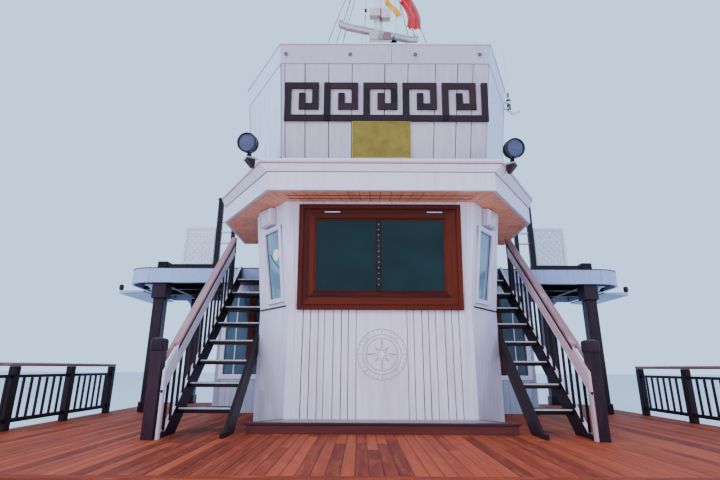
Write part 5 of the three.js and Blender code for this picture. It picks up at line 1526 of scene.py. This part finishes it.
def along_stair(y0, y1, high, low):
    """A raked strip between two heights that are measured down from the hand board's top."""
    top = [nosing_line(y) + RAIL_OVER for y in (y0, y1)]
    return [(y0, top[0] - low), (y1, top[1] - low), (y1, top[1] - high), (y0, top[0] - high)]


def rail_edge(side):
    """The inboard side of the hand board, where the board on edge starts."""
    return STAIR_OUTER[side] - RAIL_INBOARD - RAIL_WIDE / 2


def hand_board(side):
    """Raked boards: the full width above, and the outer half from where it narrows."""
    x, half = rail_edge(side), RAIL_WIDE / 2
    return [raked(x, x + RAIL_WIDE, along_stair(RAIL_NARROWS, RAIL_HEAD, 0, RAIL_THICK), 0.008),
            raked(x + half, x + RAIL_WIDE, along_stair(STAIR_START, RAIL_NARROWS - 0.001, 0, RAIL_THICK),
                  0.008)]


def under_board(side):
    """Raked boards, the lower one deeper, and a plumb leg at the foot."""
    x = rail_edge(side)
    made = [raked(x, x + UNDER_THICK, along_stair(RAIL_NARROWS, RAIL_HEAD, UNDER_TOP, UNDER_LOW)),
            raked(x, x + UNDER_THICK, along_stair(RAIL_FOOT, RAIL_NARROWS - 0.001, UNDER_DEEP, UNDER_LOW))]
    y = RAIL_FOOT + 0.03
    leg = points(x + UNDER_THICK / 2, y, [0.001, nosing_line(y) + RAIL_OVER - UNDER_LOW])
    return made + [boards(leg[None], [1, 0, 0], UNDER_THICK, 0.06)]


def lower_edge(side):
    """A strip 8 mm deep along the lower edge of the board under the rail."""
    x = rail_edge(side)
    line = along_stair(RAIL_FOOT, RAIL_HEAD, UNDER_LOW, UNDER_LOW + 0.008)
    return [raked(x - 0.002, x + UNDER_THICK + 0.002, line, 0.001)]


def rail_fillet(side):
    """A dark strip that fills the height between the two boards; its darkness is partly its own paint and
    partly painted shade of the gap under the hand board.
    """
    x = rail_edge(side)
    line = along_stair(RAIL_NARROWS + 0.001, RAIL_HEAD, RAIL_THICK + FIT, UNDER_TOP - FIT)
    return [raked(x + 0.008, x + UNDER_THICK - 0.006, line, 0.001)]


def balusters(side):
    """Upright bars at a step of 0.158 m, from over the string to the board under the rail."""
    x = STAIR_OUTER[side] - RAIL_INBOARD - BALUSTER_IN
    y = np.arange(STAIR_START + 0.06, RAIL_HEAD - 0.1, 0.158)
    foot = points(x, y, np.clip(nosing_line(y), 0, None) + LIFT + 0.014)
    head = points(x, y, nosing_line(y) + RAIL_OVER - UNDER_LOW + 0.01)
    y = RAIL_HEAD - 0.04
    post = points(x, y, nosing_line(y) + np.array([LIFT + 0.03, RAIL_OVER - 0.03]))
    return [boards(np.stack([foot, head], 1), [1, 0, 0], BALUSTER, BALUSTER, 0.003),
            boards(post[None], [1, 0, 0], HEAD_POST, HEAD_POST, 0.005)]


by_side("hand_board", hand_board, rail_top, "stair_rail")
by_side("under_board", under_board, rail_pale)
by_side("under_board_edge", lower_edge, strip_pale)
by_side("rail_fillet", rail_fillet, seam_dark)
by_side("stair_balusters", balusters, dark_wood)

# Newels: a square post ahead of each rail's foot, with a neck and a thick rounded cap. They stand at
# unequal distances from the middle, as in the photo.
NEWEL_Y, NEWEL_WIDE, CAP_WIDE, CAP_LOW, NEWEL_TOP = -0.88, 0.13, 0.15, 0.95, 1.10
NEWEL_X = {PORT: 2.408, STBD: 2.615}
newel_wood = timber("plum_stained_wood", "dark_wood", (0.028, 0.011, 0.021), (0.009, 0.004, 0.008), 0.40,
                    coat=0.04, wear=(0.07, 0.036, 0.052, 0.22), Specular_IOR_Level=0.18)


def newel(side):
    """A square post and a cap of stacked squares, with corners cut off by a share of the half width."""
    x = NEWEL_X[side]

    def ring(half, z, turn=0.12):
        """A square of a half width with its corners cut off by a share of it."""
        cut = half * turn
        square = [(half, cut - half), (half, half - cut), (half - cut, half), (cut - half, half),
                  (-half, half - cut), (-half, cut - half), (cut - half, -half), (half - cut, -half)]
        return [(x + a, NEWEL_Y + b, z) for a, b in square]

    half, cap, top = NEWEL_WIDE / 2, CAP_WIDE / 2, NEWEL_TOP
    body = [ring(h, z, 0.06) for h, z in ((half, 0.001), (half, CAP_LOW - 0.001))]
    head = [ring(h, z) for h, z in ((cap - 0.008, CAP_LOW), (cap, CAP_LOW + 0.02), (cap, top - 0.035),
                                    (cap - 0.004, top - 0.018), (cap - 0.012, top - 0.01),
                                    (cap - 0.035, top))]
    solids = [np.array(rings) for rings in (body, head)]
    return [shell(rings[None], (rings - [x, NEWEL_Y, 0])[None, ..., [2, 0, 1]]) for rings in solids]


by_side("newel_post", newel, newel_wood, "newel")

# Roof deck: planks on beams over the wings and the saloon. A white fascia of boards turns a round corner on
# each side under a thin black edge, and a gutter hangs outboard of it farther aft.
ROOF_DECK_HALF, ROOF_DECK_TOP, ROOF_DECK_CORNER = 4.79, 2.60, 0.50
DECK_AFT = DECK_HIGH[1]
GUTTER_HALF, GUTTER_FORE, GUTTER_LOW = 5.30, 3.04, 2.24
POST_X, POST_Y, AFT_POST_Y, POST_HALF = 4.10, 2.33, 4.40, 0.10
SALOON_HALF, SALOON_AFT = 2.90, 3.75
wing_white = white_paint("wing_paint", (0.30, 0.39, 0.64), (0.18, 0.21, 0.34), 0.45, 0.5)


def deck_line(reach):
    """The roof deck's edge set in by a reach, from its aft end to port round to its aft end to starboard."""
    half, fore, corner = ROOF_DECK_HALF, ROOF_DECK_FORE, ROOF_DECK_CORNER
    turn = np.linspace(0, np.pi / 2, 9)
    r = corner - reach
    bend = np.stack([half - corner + r * np.cos(turn), fore + corner - r * np.sin(turn)], -1)
    port = np.concatenate([[(half - reach, DECK_AFT)], bend])
    return np.concatenate([port, port[::-1] * [-1, 1]])


def along_edge(reach, z, high, thick, first, last, arris=0.004):
    """One board that follows the deck's edge between two of its points, standing on z."""
    line = deck_line(reach + thick / 2)[first:last]
    path = np.concatenate([line, np.full((len(line), 1), z + high / 2)], 1)
    return boards(path[None], [0, 0, 1.0], high, thick, arris)


def roof_fascia():
    """The boards of the deck's edge: two round corners, the sides, the front and the aft end."""
    half, fore, corner, reach = ROOF_DECK_HALF, ROOF_DECK_FORE, ROOF_DECK_CORNER, 0.022
    high = ROOF_DECK_TOP - ROOF_DECK_LOW - 0.014
    z = ROOF_DECK_LOW + high / 2
    runs = [along_edge(0.0, ROOF_DECK_LOW, high, 0.044, first, last) for first, last in ((1, 10), (10, 19))]
    y = np.linspace(fore + corner, DECK_AFT, 3)
    for x in (half - reach, reach - half):
        runs.append(boards([[(x, a + 0.002, z), (x, b - 0.001, z)] for a, b in zip(y[:-1], y[1:])],
                           [0, 0, 1.0], high, 0.044))
    x, y = np.linspace(-half + corner, half - corner, 8), fore + reach
    runs.append(boards([[(a + 0.0015, y, z), (b - 0.0015, y, z)] for a, b in zip(x[:-1], x[1:])],
                       [0, 0, 1.0], high, 0.044, 0.003))
    runs.append(beams(about(0, half - 0.05), (DECK_AFT - 0.044, DECK_AFT),
                      (ROOF_DECK_LOW, ROOF_DECK_TOP - 0.014)))
    piece("roof_deck_fascia", runs, wing_white, stands_for=["roof_deck"])
    piece("roof_deck_edge", [along_edge(-0.006, ROOF_DECK_TOP - 0.013, 0.016, 0.055, 0, 20, 0.003)], black)


def roof_planks():
    """Planks that end on the deck's rounded front, and the thin ceiling of the same outline under them."""
    edge = 0.048
    x = np.linspace(-ROOF_DECK_HALF + edge, ROOF_DECK_HALF - edge, 91)
    r = ROOF_DECK_CORNER - edge

    def front(x):
        over = np.clip(np.abs(x) - ROOF_DECK_HALF + ROOF_DECK_CORNER, 0, r)
        return np.stack([x, ROOF_DECK_FORE + ROOF_DECK_CORNER - np.sqrt(r * r - over * over)], -1)

    x0, x1 = x[:-1] + 0.002, x[1:] - 0.002
    aft = np.full(len(x0), DECK_AFT - 0.046)
    rows = np.stack([front(x0), front(x1), np.stack([x1, aft], -1), np.stack([x0, aft], -1)], 1)
    piece("roof_deck_planks", [slab(rows, (0, 0, ROOF_DECK_TOP - 0.038), depth=0.036, arris=0.002, **LEVEL)],
          deck_wood)
    return rows


def roof_beams(outline):
    """Boxes fore and aft and across at set places, and a flat ceiling at their heads; both are dark wood to
    paint the shade under the roof deck.
    """
    low, high, aft = ROOF_DECK_LOW + 0.002, ROOF_DECK_TOP - 0.040, DECK_AFT - 0.046
    x = np.array([-4.1, -SALOON_HALF + 0.03, -1.0, 1.0, SALOON_HALF - 0.03, 4.1])
    under = [beams(about(x, 0.04), (ROOF_DECK_FORE + 0.046, aft), (low, high), 0.005)]
    y = np.array([2.228, 2.98, SALOON_AFT - 0.028])
    half = ROOF_DECK_HALF - np.array([0.39, 0.046, 0.046])
    under.append(beams((-half, half), about(y, 0.04), (low + 0.003, high - 0.001), 0.005))
    piece("roof_deck_shaded_beams", under, dark_wood)
    ceiling = slab(outline, (0, 0, ROOF_DECK_TOP - 0.046), depth=0.007, arris=0.002, **LEVEL)
    # A dark sheet under the planks: painted shade of the roof deck's underside.
    piece("roof_deck_shade_ceiling", [ceiling], dark_wood)
    batten = beams((3.46, 3.54), (ROOF_DECK_FORE + 0.05, SALOON_AFT), (ROOF_DECK_TOP - 0.075,
                                                                       ROOF_DECK_TOP - 0.047))
    pair("roof_deck_battens", [batten], wing_white)
    stubs = [beams(about(side * POST_X, POST_HALF), about(POST_Y, POST_HALF), (ROOF_DECK_TOP - 0.002, 2.745),
                   0.012) for side in (PORT, STBD)]
    piece("post_stubs", stubs, dark_wood)


def gutters():
    """A trough's section carried aft, and a turned knob at its fore end."""
    inner, outer, low = ROOF_DECK_HALF + 0.003, GUTTER_HALF, GUTTER_LOW
    trough = [(inner, low + 0.040), (outer, low), (outer, low + 0.09), (outer - 0.018, low + 0.09),
              (outer - 0.03, low + 0.07), (inner, low + 0.07)]
    pair("gutters", [slab(trough, (0, DECK_AFT, 0), depth=DECK_AFT - GUTTER_FORE, arris=0.004, **UPRIGHT)],
         wing_white)
    knob = turned([(0.012, 0.0), (0.036, 0.006), (0.046, 0.03), (0.046, 0.09), (0.036, 0.114), (0.012, 0.12)],
                  (outer - 0.022, GUTTER_FORE + 0.03, low + 0.075))
    pair("gutter_knobs", [knob], black)


roof_fascia()
roof_beams(roof_planks())
gutters()

# Posts under the roof deck: dark square timbers with a plinth and a capital, and a small painted curved knee
# on the outboard side.
CAPITAL, CAPITAL_LOW, KNEE = 0.27, 2.03, 0.33


def roof_post(name, y):
    """Square timbers, and a knee whose inner curve is a quarter of an ellipse."""
    low = ROOF_DECK_LOW - 2 * GAP
    timbers = [boards([[(POST_X, y, z0), (POST_X, y, z1)]], [1, 0, 0], wide, wide, arris) for z0, z1, wide,
               arris in ((0.001, CAPITAL_LOW, 2 * POST_HALF, 0.012), (0.001, 0.18, 0.25, 0.012),
                         (CAPITAL_LOW, low, CAPITAL, 0.010))]
    start, angle = CAPITAL / 2 + 0.001, np.linspace(np.pi / 2, 0, 9)
    curve = np.stack([KNEE - 0.17 * np.sin(angle), -0.285 + 0.26 * np.cos(angle)], -1)
    knee = np.concatenate([[(start, 0.0), (start, -0.31), (KNEE - 0.185, -0.31)], curve, [(KNEE, 0.0)]])
    brace = slab(knee, (POST_X, y + 0.025, low), depth=0.05, arris=0.005, **UPRIGHT)
    pair(name + "_timber", timbers, newel_wood, stands_for=[name])
    pair(name + "_knee", [brace], wing_white)


roof_post("roof_post", POST_Y)
roof_post("aft_post", AFT_POST_Y)

# Terrace screens on the roof deck: a dark sill, a white fretted panel of eight-pointed stars in a frame, and
# dark posts joined by white rails of tube.
TERRACE_LOW = ROOF_DECK_TOP + 0.001
LATTICE = (3.16, 3.75, 2.70, 3.46)
LATTICE_Y, TERRACE_Y = 2.29, 2.26
CELL, COLUMNS, ROWS = 0.1215, 4, 5
fret_white = white_paint("fret_paint", (0.60, 0.64, 0.72), (0.40, 0.42, 0.50), 0.45, 0.3)


def fret_panel():
    """A star fret: a square on its corner and a cross in each cell of a grid, in a moulded frame."""
    x0, x1, z0, z1 = LATTICE
    profile = [(0.0, 0.0), (0.0, 0.040), (0.045, 0.040), (0.052, 0.033), (0.052, 0.0)]
    made = [mitred(rectangle(x0, x1, z0, z1), profile, (0, LATTICE_Y + 0.02, 0), **UPRIGHT)]
    left, low, wide, high = x0 + 0.052, z0 + 0.045, CELL, CELL * 1.08
    angle = np.arange(5) * np.pi / 2
    corner = np.stack([0.5 * wide * np.cos(angle), 0.5 * high * np.sin(angle)], -1)
    star = np.concatenate([np.stack([corner[:-1], corner[1:]], 1), corner[[[2, 0], [3, 1]]]])
    bars = [star + [left + (i + 0.5) * wide, low + (j + 0.5) * high] for i in range(COLUMNS)
            for j in range(ROWS)]
    bars.append([[(left + i * wide, low), (left + i * wide, low + ROWS * high)] for i in range(COLUMNS + 1)])
    bars.append([[(left, low + j * high), (left + COLUMNS * wide, low + j * high)] for j in range(ROWS + 1)])
    ends = np.concatenate(bars)
    lift = 0.0004 * (np.arange(len(ends)) % 7)
    path = points(ends[..., 0], LATTICE_Y, ends[..., 1])
    across = unit(np.cross(path[:, 1] - path[:, 0], [0, 1.0, 0]))[:, None]
    return made + [boards(path, across, 0.017, (0.018 + lift)[:, None], 0.002, [0, -1.0, 0])]


def terrace():
    """Frets, square posts and level tubes, mirrored to both sides."""
    pair("lattice_frets", fret_panel(), fret_white, stands_for=["lattice_screen"])
    x0, x1, z0, _ = LATTICE
    y, low = TERRACE_Y, TERRACE_LOW
    posts = [boards([[(x, y, low), (x, y, high)]], [1, 0, 0], wide, wide, arris)
             for x, high, wide, arris in ((3.08, 4.06, 0.096, 0.008), (2.795, 3.72, 0.07, 0.006))]
    posts.append(beams((3.02, 3.14), about(y, 0.06), (4.01, 4.035)))
    posts.append(beams((x0 - 0.13, x1 + 0.24), about(LATTICE_Y, 0.035), (low, z0 - 0.001), 0.006))
    pair("terrace_posts", posts, newel_wood, stands_for=["terrace_post"])
    pair("terrace_tubes", [tube([(2.83, y, z), (3.032, y, z)], 0.021, 14) for z in (3.13, 3.345, 3.56)],
         mast_white, slot="radar_paint")


terrace()

# Side rails of the deck: a varnished top rail on dark posts, with a foot rail, a mid rail and square
# balusters.
def side_rails():
    """Level boards on five posts, with balusters at a step of 0.152 m where no post stands."""
    x, top, fore, aft = 4.70, 0.82, DECK_LOW[1] + 0.05, 2.12
    y = np.linspace(fore + 0.05, aft - 0.05, 5)
    cap = [boards([[(x, fore, top - 0.0225), (x, aft, top - 0.0225)]], [1, 0, 0], 0.11, 0.045, 0.012)]
    pair("side_rail_caps", cap, rail_top, stands_for=["side_rail"])
    made = [beams(about(x, 0.03), (fore, aft), (0.09, 0.14), 0.006),
            beams(about(x, 0.022), (fore, aft), (top - 0.19, top - 0.15), 0.006),
            beams(about(x, 0.048), about(y, 0.048), (0.001, top - 0.046), 0.006, along=2)]
    between = np.arange(fore + 0.152, aft - 0.06, 0.152)
    between = between[np.abs(between[:, None] - y).min(1) > 0.07]
    made.append(beams(about(x, 0.014), about(between, 0.014), (0.141, top - 0.191), 0.003, along=2))
    pair("side_rail_frames", made, dark_wood)


side_rails()

# Saloon: planked white walls behind the stairs, open to the wheelhouse, with framed windows of dim blue glass
# in front, on the sides and in the rear wall. The front ones have a varnished stile and thin glazing bars.
SALOON_FORE = 2.20
SALOON_TOP = ROOF_DECK_LOW - 2 * GAP
# The saloon's white is darker and bluer than the wheelhouse's: painted shade for walls standing under the
# roof deck behind the stairs.
saloon_shaded_white = white_paint("saloon_paint_shaded", (0.34, 0.37, 0.50), (0.18, 0.19, 0.27), 0.45, 0.5)


def planked(x0, x1, z0, z1, place, across, pitch=0.12, thick=0.024):
    """Upright planks over a rectangle of a wall, from its outer plane inwards."""
    edges = x0 + (x1 - x0) * uneven(0, 1, pitch)
    rows = np.stack([rectangle(a + 0.0015, b - 0.0015, z0, z1) for a, b in zip(edges[:-1], edges[1:])])
    out = np.cross(across, (0, 0, 1.0))
    return slab(rows, np.asarray(place) - out * thick, across, (0, 0, 1), thick, 0.002)


def wall_with_opening(width, opening, place, across):
    """A planked wall from 0 to a width, in two skins on a frame, round an opening (x0, x1, z0, z1)."""
    out = np.cross(across, (0, 0, 1.0))
    x0, x1, low, high = opening
    made = []
    for a, b, *levels in ((0.0, x0, SALOON_TOP), (x0, x1, low, high, SALOON_TOP), (x1, width, SALOON_TOP)):
        for z, top in zip([0.001] + levels[1::2], levels[::2]):
            made.append(planked(a, b, z, top, place, across))
            made.append(planked(a + 0.002, b - 0.002, z + 0.002, top - 0.002, place - out * 0.0255, across,
                                0.3, 0.029))
    return made


# This glass's dark colour and near-opaque alpha paint the shade of the room behind it.
shade_dark_pane_blue = glass("saloon_glass", "pale_glass", (0.010, 0.022, 0.036), (0.05, 0.10, 0.16), (0.35, 0.65),
                  (0.08, 0.02), 1.1, Alpha=0.9, Specular_IOR_Level=0.4)


def saloon():
    """Each wall has one window, (x0, x1, z0, z1) along it; the rear ones meet at the back door."""
    throat = BAY_FOOT["side"][0] - WALL_THICK
    trim = [(-0.05, 0.0008), (-0.05, 0.012), (-0.044, 0.018), (0.024, 0.018), (0.030, 0.012), (0.030, -0.012),
            (0.003, -0.012), (0.003, 0.0008)]
    planks, trims = [], []
    for width, window, place, across in ((SALOON_HALF - throat, (1.985 - throat, 2.785 - throat, 0.62, 2.12),
                                          (throat, SALOON_FORE, 0), (1.0, 0, 0)),
                                         (SALOON_AFT - SALOON_FORE - 0.004, (0.35, 1.20, 0.90, 1.95),
                                          (SALOON_HALF, SALOON_FORE + 0.002, 0), (0, 1.0, 0)),
                                         (SALOON_HALF - 0.396, (SALOON_HALF - 2.3, SALOON_HALF - 0.9, 0.90,
                                                                1.95), (SALOON_HALF, SALOON_AFT, 0),
                                          (-1.0, 0, 0))):
        planks.append(wall_with_opening(width, window, place, across))
        trims.append((rectangle(*window), trim, place, across, (0, 0, 1)))
    trims = [mitred(*line) for line in trims]
    pair("saloon_planks", sum(planks, []), saloon_shaded_white)
    door = [beams((-0.396, 0.396), (SALOON_AFT - 0.054, SALOON_AFT), (1.967, SALOON_TOP), 0.003)]
    door += [beams(x, (SALOON_AFT, SALOON_AFT + 0.014), (low, 2.03), 0.003)
             for x, low in ((about(0.43, 0.03), 0.001), (about(-0.43, 0.03), 0.001), ((-0.40, 0.40), 1.97))]
    piece("saloon_door_head", door, saloon_shaded_white, stands_for=["saloon_walls"])
    pair("saloon_window_frames", trims, trim_white)
    for hand in ("port", "stbd"):
        glaze("saloon_glass_" + hand, shade_dark_pane_blue)
    fore = SALOON_FORE
    panes = [beams(about(SALOON_HALF - 0.03, 0.004), (fore + 0.353, fore + 1.201), (0.901, 1.949), 0.001),
             beams((0.901, 2.299), about(SALOON_AFT - 0.03, 0.004), (0.901, 1.949), 0.001)]
    pair("saloon_panes", panes, shade_dark_pane_blue)
    bars = [beams((2.56, 2.58), (fore + 0.008, fore + 0.0195), (0.625, 2.115), 0.003),
            beams((2.365, 2.78), (fore + 0.008, fore + 0.0195), (1.55, 1.57), 0.003)]
    pair("saloon_glazing_bars", bars, trim_white)
    pair("saloon_stiles", [beams((2.24, 2.36), (fore - 0.012, fore + 0.0195), (0.625, 2.115))], varnish)


saloon()

# Back door of the saloon: a framed varnished leaf on hinges with a light in it, a lower panel and a round
# knob.
def back_door():
    """A mitred frame, boxes for its rails and panels, and a turned knob and hinge pins."""
    y0, y1 = SALOON_AFT - 0.042, SALOON_AFT
    half, low, high = 0.39, 0.025, 1.96
    leaf = [mitred(rectangle(-half, half, low, high), [(0, 0), (0, 0.042), (0.15, 0.042), (0.15, 0)],
                   (0, y0, 0), (-1, 0, 0), (0, 0, 1))]
    leaf += [beams(about(0, half - inset_by), (y0 + deep, y1 - deep), levels, arris) for inset_by, deep,
             levels, arris in ((0.151, 0.001, (0.86, 1.0), 0.003), (0.14, 0.012, (low + 0.14, 0.87), 0.003),
                               (0.19, 0.006, (low + 0.20, 0.81), 0.008), (0.151, 0.002, (1.76, high - 0.149),
                                                                          0.003))]
    piece("back_door_leaf", leaf, varnish, "door", ["back_door"])
    pane = beams(about(0, half - 0.145), (y0 + 0.018, y0 + 0.024), (0.995, 1.765), 0.001)
    piece("back_door_pane", [pane], shade_dark_pane_blue, "door")
    knob = [(0.014, -0.020), (0.024, -0.016), (0.028, -0.004), (0.024, 0.004), (0.010, 0.012), (0.010, 0.050),
            (0.024, 0.056), (0.030, 0.068), (0.026, 0.082), (0.012, 0.087)]
    levels = (0.20, 0.95, 1.68)
    hinge = [turned([(0.0036, z), (0.0036, z + 0.09)], (half + 0.002, y1 + 0.002, 0), sides=12)
             for z in levels]
    hinge += [beams((half - 0.05, half - 0.004), (y1 + FIT, y1 + 0.003), (z, z + 0.09), 0.0008)
              for z in levels]
    piece("back_door_knob", [turned(knob, (-half + 0.07, y0 - 0.002, 1.0), (0, 1, 0))], brass_edge, "door")
    piece("back_door_hinges", hinge, brass_edge, "door")


back_door()

# Helm: a varnished desk under the front window with a sloping top, and a six-spoked wheel on a boss behind
# it.
WHEEL_Y, WHEEL_Z, WHEEL_RADIUS = 1.12, 1.01, 0.31


def helm():
    """Slabs with a side outline. The wheel is a circle of tube with six handles at 60 degrees."""
    profile = [(0.42, 0.001), (0.90, 0.001), (0.90, 0.84), (0.955, 0.955), (0.42, 1.10)]
    top = [(0.42, 1.102), (0.97, 0.955), (0.98, 1.005), (0.98, 1.045), (0.42, 1.155)]
    desk = [slab(profile, (-0.88, 0, 0), depth=1.76, arris=0.005, **FACING_PORT),
            slab(top, (-0.90, 0, 0), depth=1.80, arris=0.006, **FACING_PORT)]
    panels = [beams(about(x, 0.25), (0.901, 0.909), (0.10, 0.78)) for x in (-0.58, 0.58)]
    boss = turned([(0.055, 0.902), (0.055, 0.915), (0.042, 0.925), (0.042, WHEEL_Y - 0.052)], (0, 0, WHEEL_Z),
                  (0, 1, 0))
    piece("helm_desk_case", desk + [boss] + panels, varnish, stands_for=["helm_desk"])
    turn = around(49, True)
    centre = np.array([0.0, WHEEL_Y, WHEEL_Z])
    made = [tube(centre + WHEEL_RADIUS * points(np.cos(turn), 0, np.sin(turn)), 0.019, 12),
            turned([(0.045, -0.045), (0.055, -0.035), (0.055, 0.035), (0.045, 0.045)], centre, (0, 1, 0))]
    handle = [(0.012, 0.05), (0.016, 0.12), (0.011, 0.20), (0.015, 0.27), (0.015, 0.345), (0.011, 0.352),
              (0.015, 0.375), (0.013, 0.392), (0.005, 0.398)]
    made += [turned(handle, centre, (math.cos(a), 0, math.sin(a)), 12) for a in np.arange(6) * math.pi / 3]
    piece("helm_wheel_rim", made, varnish, "wheel", ["helm_wheel"])
    hub = [turned(profile, centre, (0, 1, 0)) for profile in (
        [(0.030, -0.052), (0.034, -0.048), (0.034, -0.046)],
        [(0.034, 0.046), (0.034, 0.049), (0.024, 0.056), (0.008, 0.060)])]
    piece("helm_wheel_hub", hub, brass_edge, "wheel")


helm()

# Floor and light: a plain pale floor, a pale sky, and a wide soft lamp high in front, as on a hazy bright
# day.
floor_mesh = bpy.data.meshes.new("floor")
FLOOR = 90.0
floor_mesh.from_pydata([(-FLOOR, -FLOOR, 0), (FLOOR, -FLOOR, 0), (FLOOR, FLOOR, 0), (-FLOOR, FLOOR, 0)], [],
                       [(0, 1, 2, 3)])
floor = in_scene("floor", floor_mesh)
floor_mesh.materials.append(finish_of("floor", "", lambda f: {}, Base_Color=(0.62, 0.66, 0.72, 1),
                                      Roughness=0.9))

sky = bpy.data.worlds.new("sky")
sky.use_nodes = True
sky.node_tree.nodes["Background"].inputs["Color"].default_value = (0.50, 0.70, 1.0, 1)
sky.node_tree.nodes["Background"].inputs["Strength"].default_value = 1.75
bpy.context.scene.world = sky


def area_lamp(name, place, aim, size, power, colour):
    """A round area light at a place, turned so that its -Z points at the aim."""
    lamp = bpy.data.lights.new(name, "AREA")
    lamp.shape = "DISK"
    lamp.size = size
    lamp.energy = power
    lamp.color = colour
    holder = in_scene(name, lamp)
    holder.location = HOME + place
    holder.rotation_mode = "QUATERNION"
    holder.rotation_quaternion = Vector(np.subtract(aim, place)).to_track_quat("-Z", "Y")
    holder.visible_glossy = False


area_lamp("sun_haze", [-7.0, -13.0, 15.0], [0, 1, 2.5], 9.0, 1900.0, (1.0, 0.93, 0.89))
area_lamp("deck_bounce", [0.5, -5.0, 0.4], [0, 1, 3.4], 4.0, 170.0, (1.0, 0.50, 0.34))
area_lamp("sea_glare_port", [11.0, -7.0, 3.5], [1.5, 0.5, 2.5], 5.0, 420.0, (0.92, 0.94, 1.0))
area_lamp("sea_glare_stbd", [-11.0, -7.0, 3.5], [-1.5, 0.5, 2.5], 5.0, 620.0, (1.0, 0.95, 1.0))
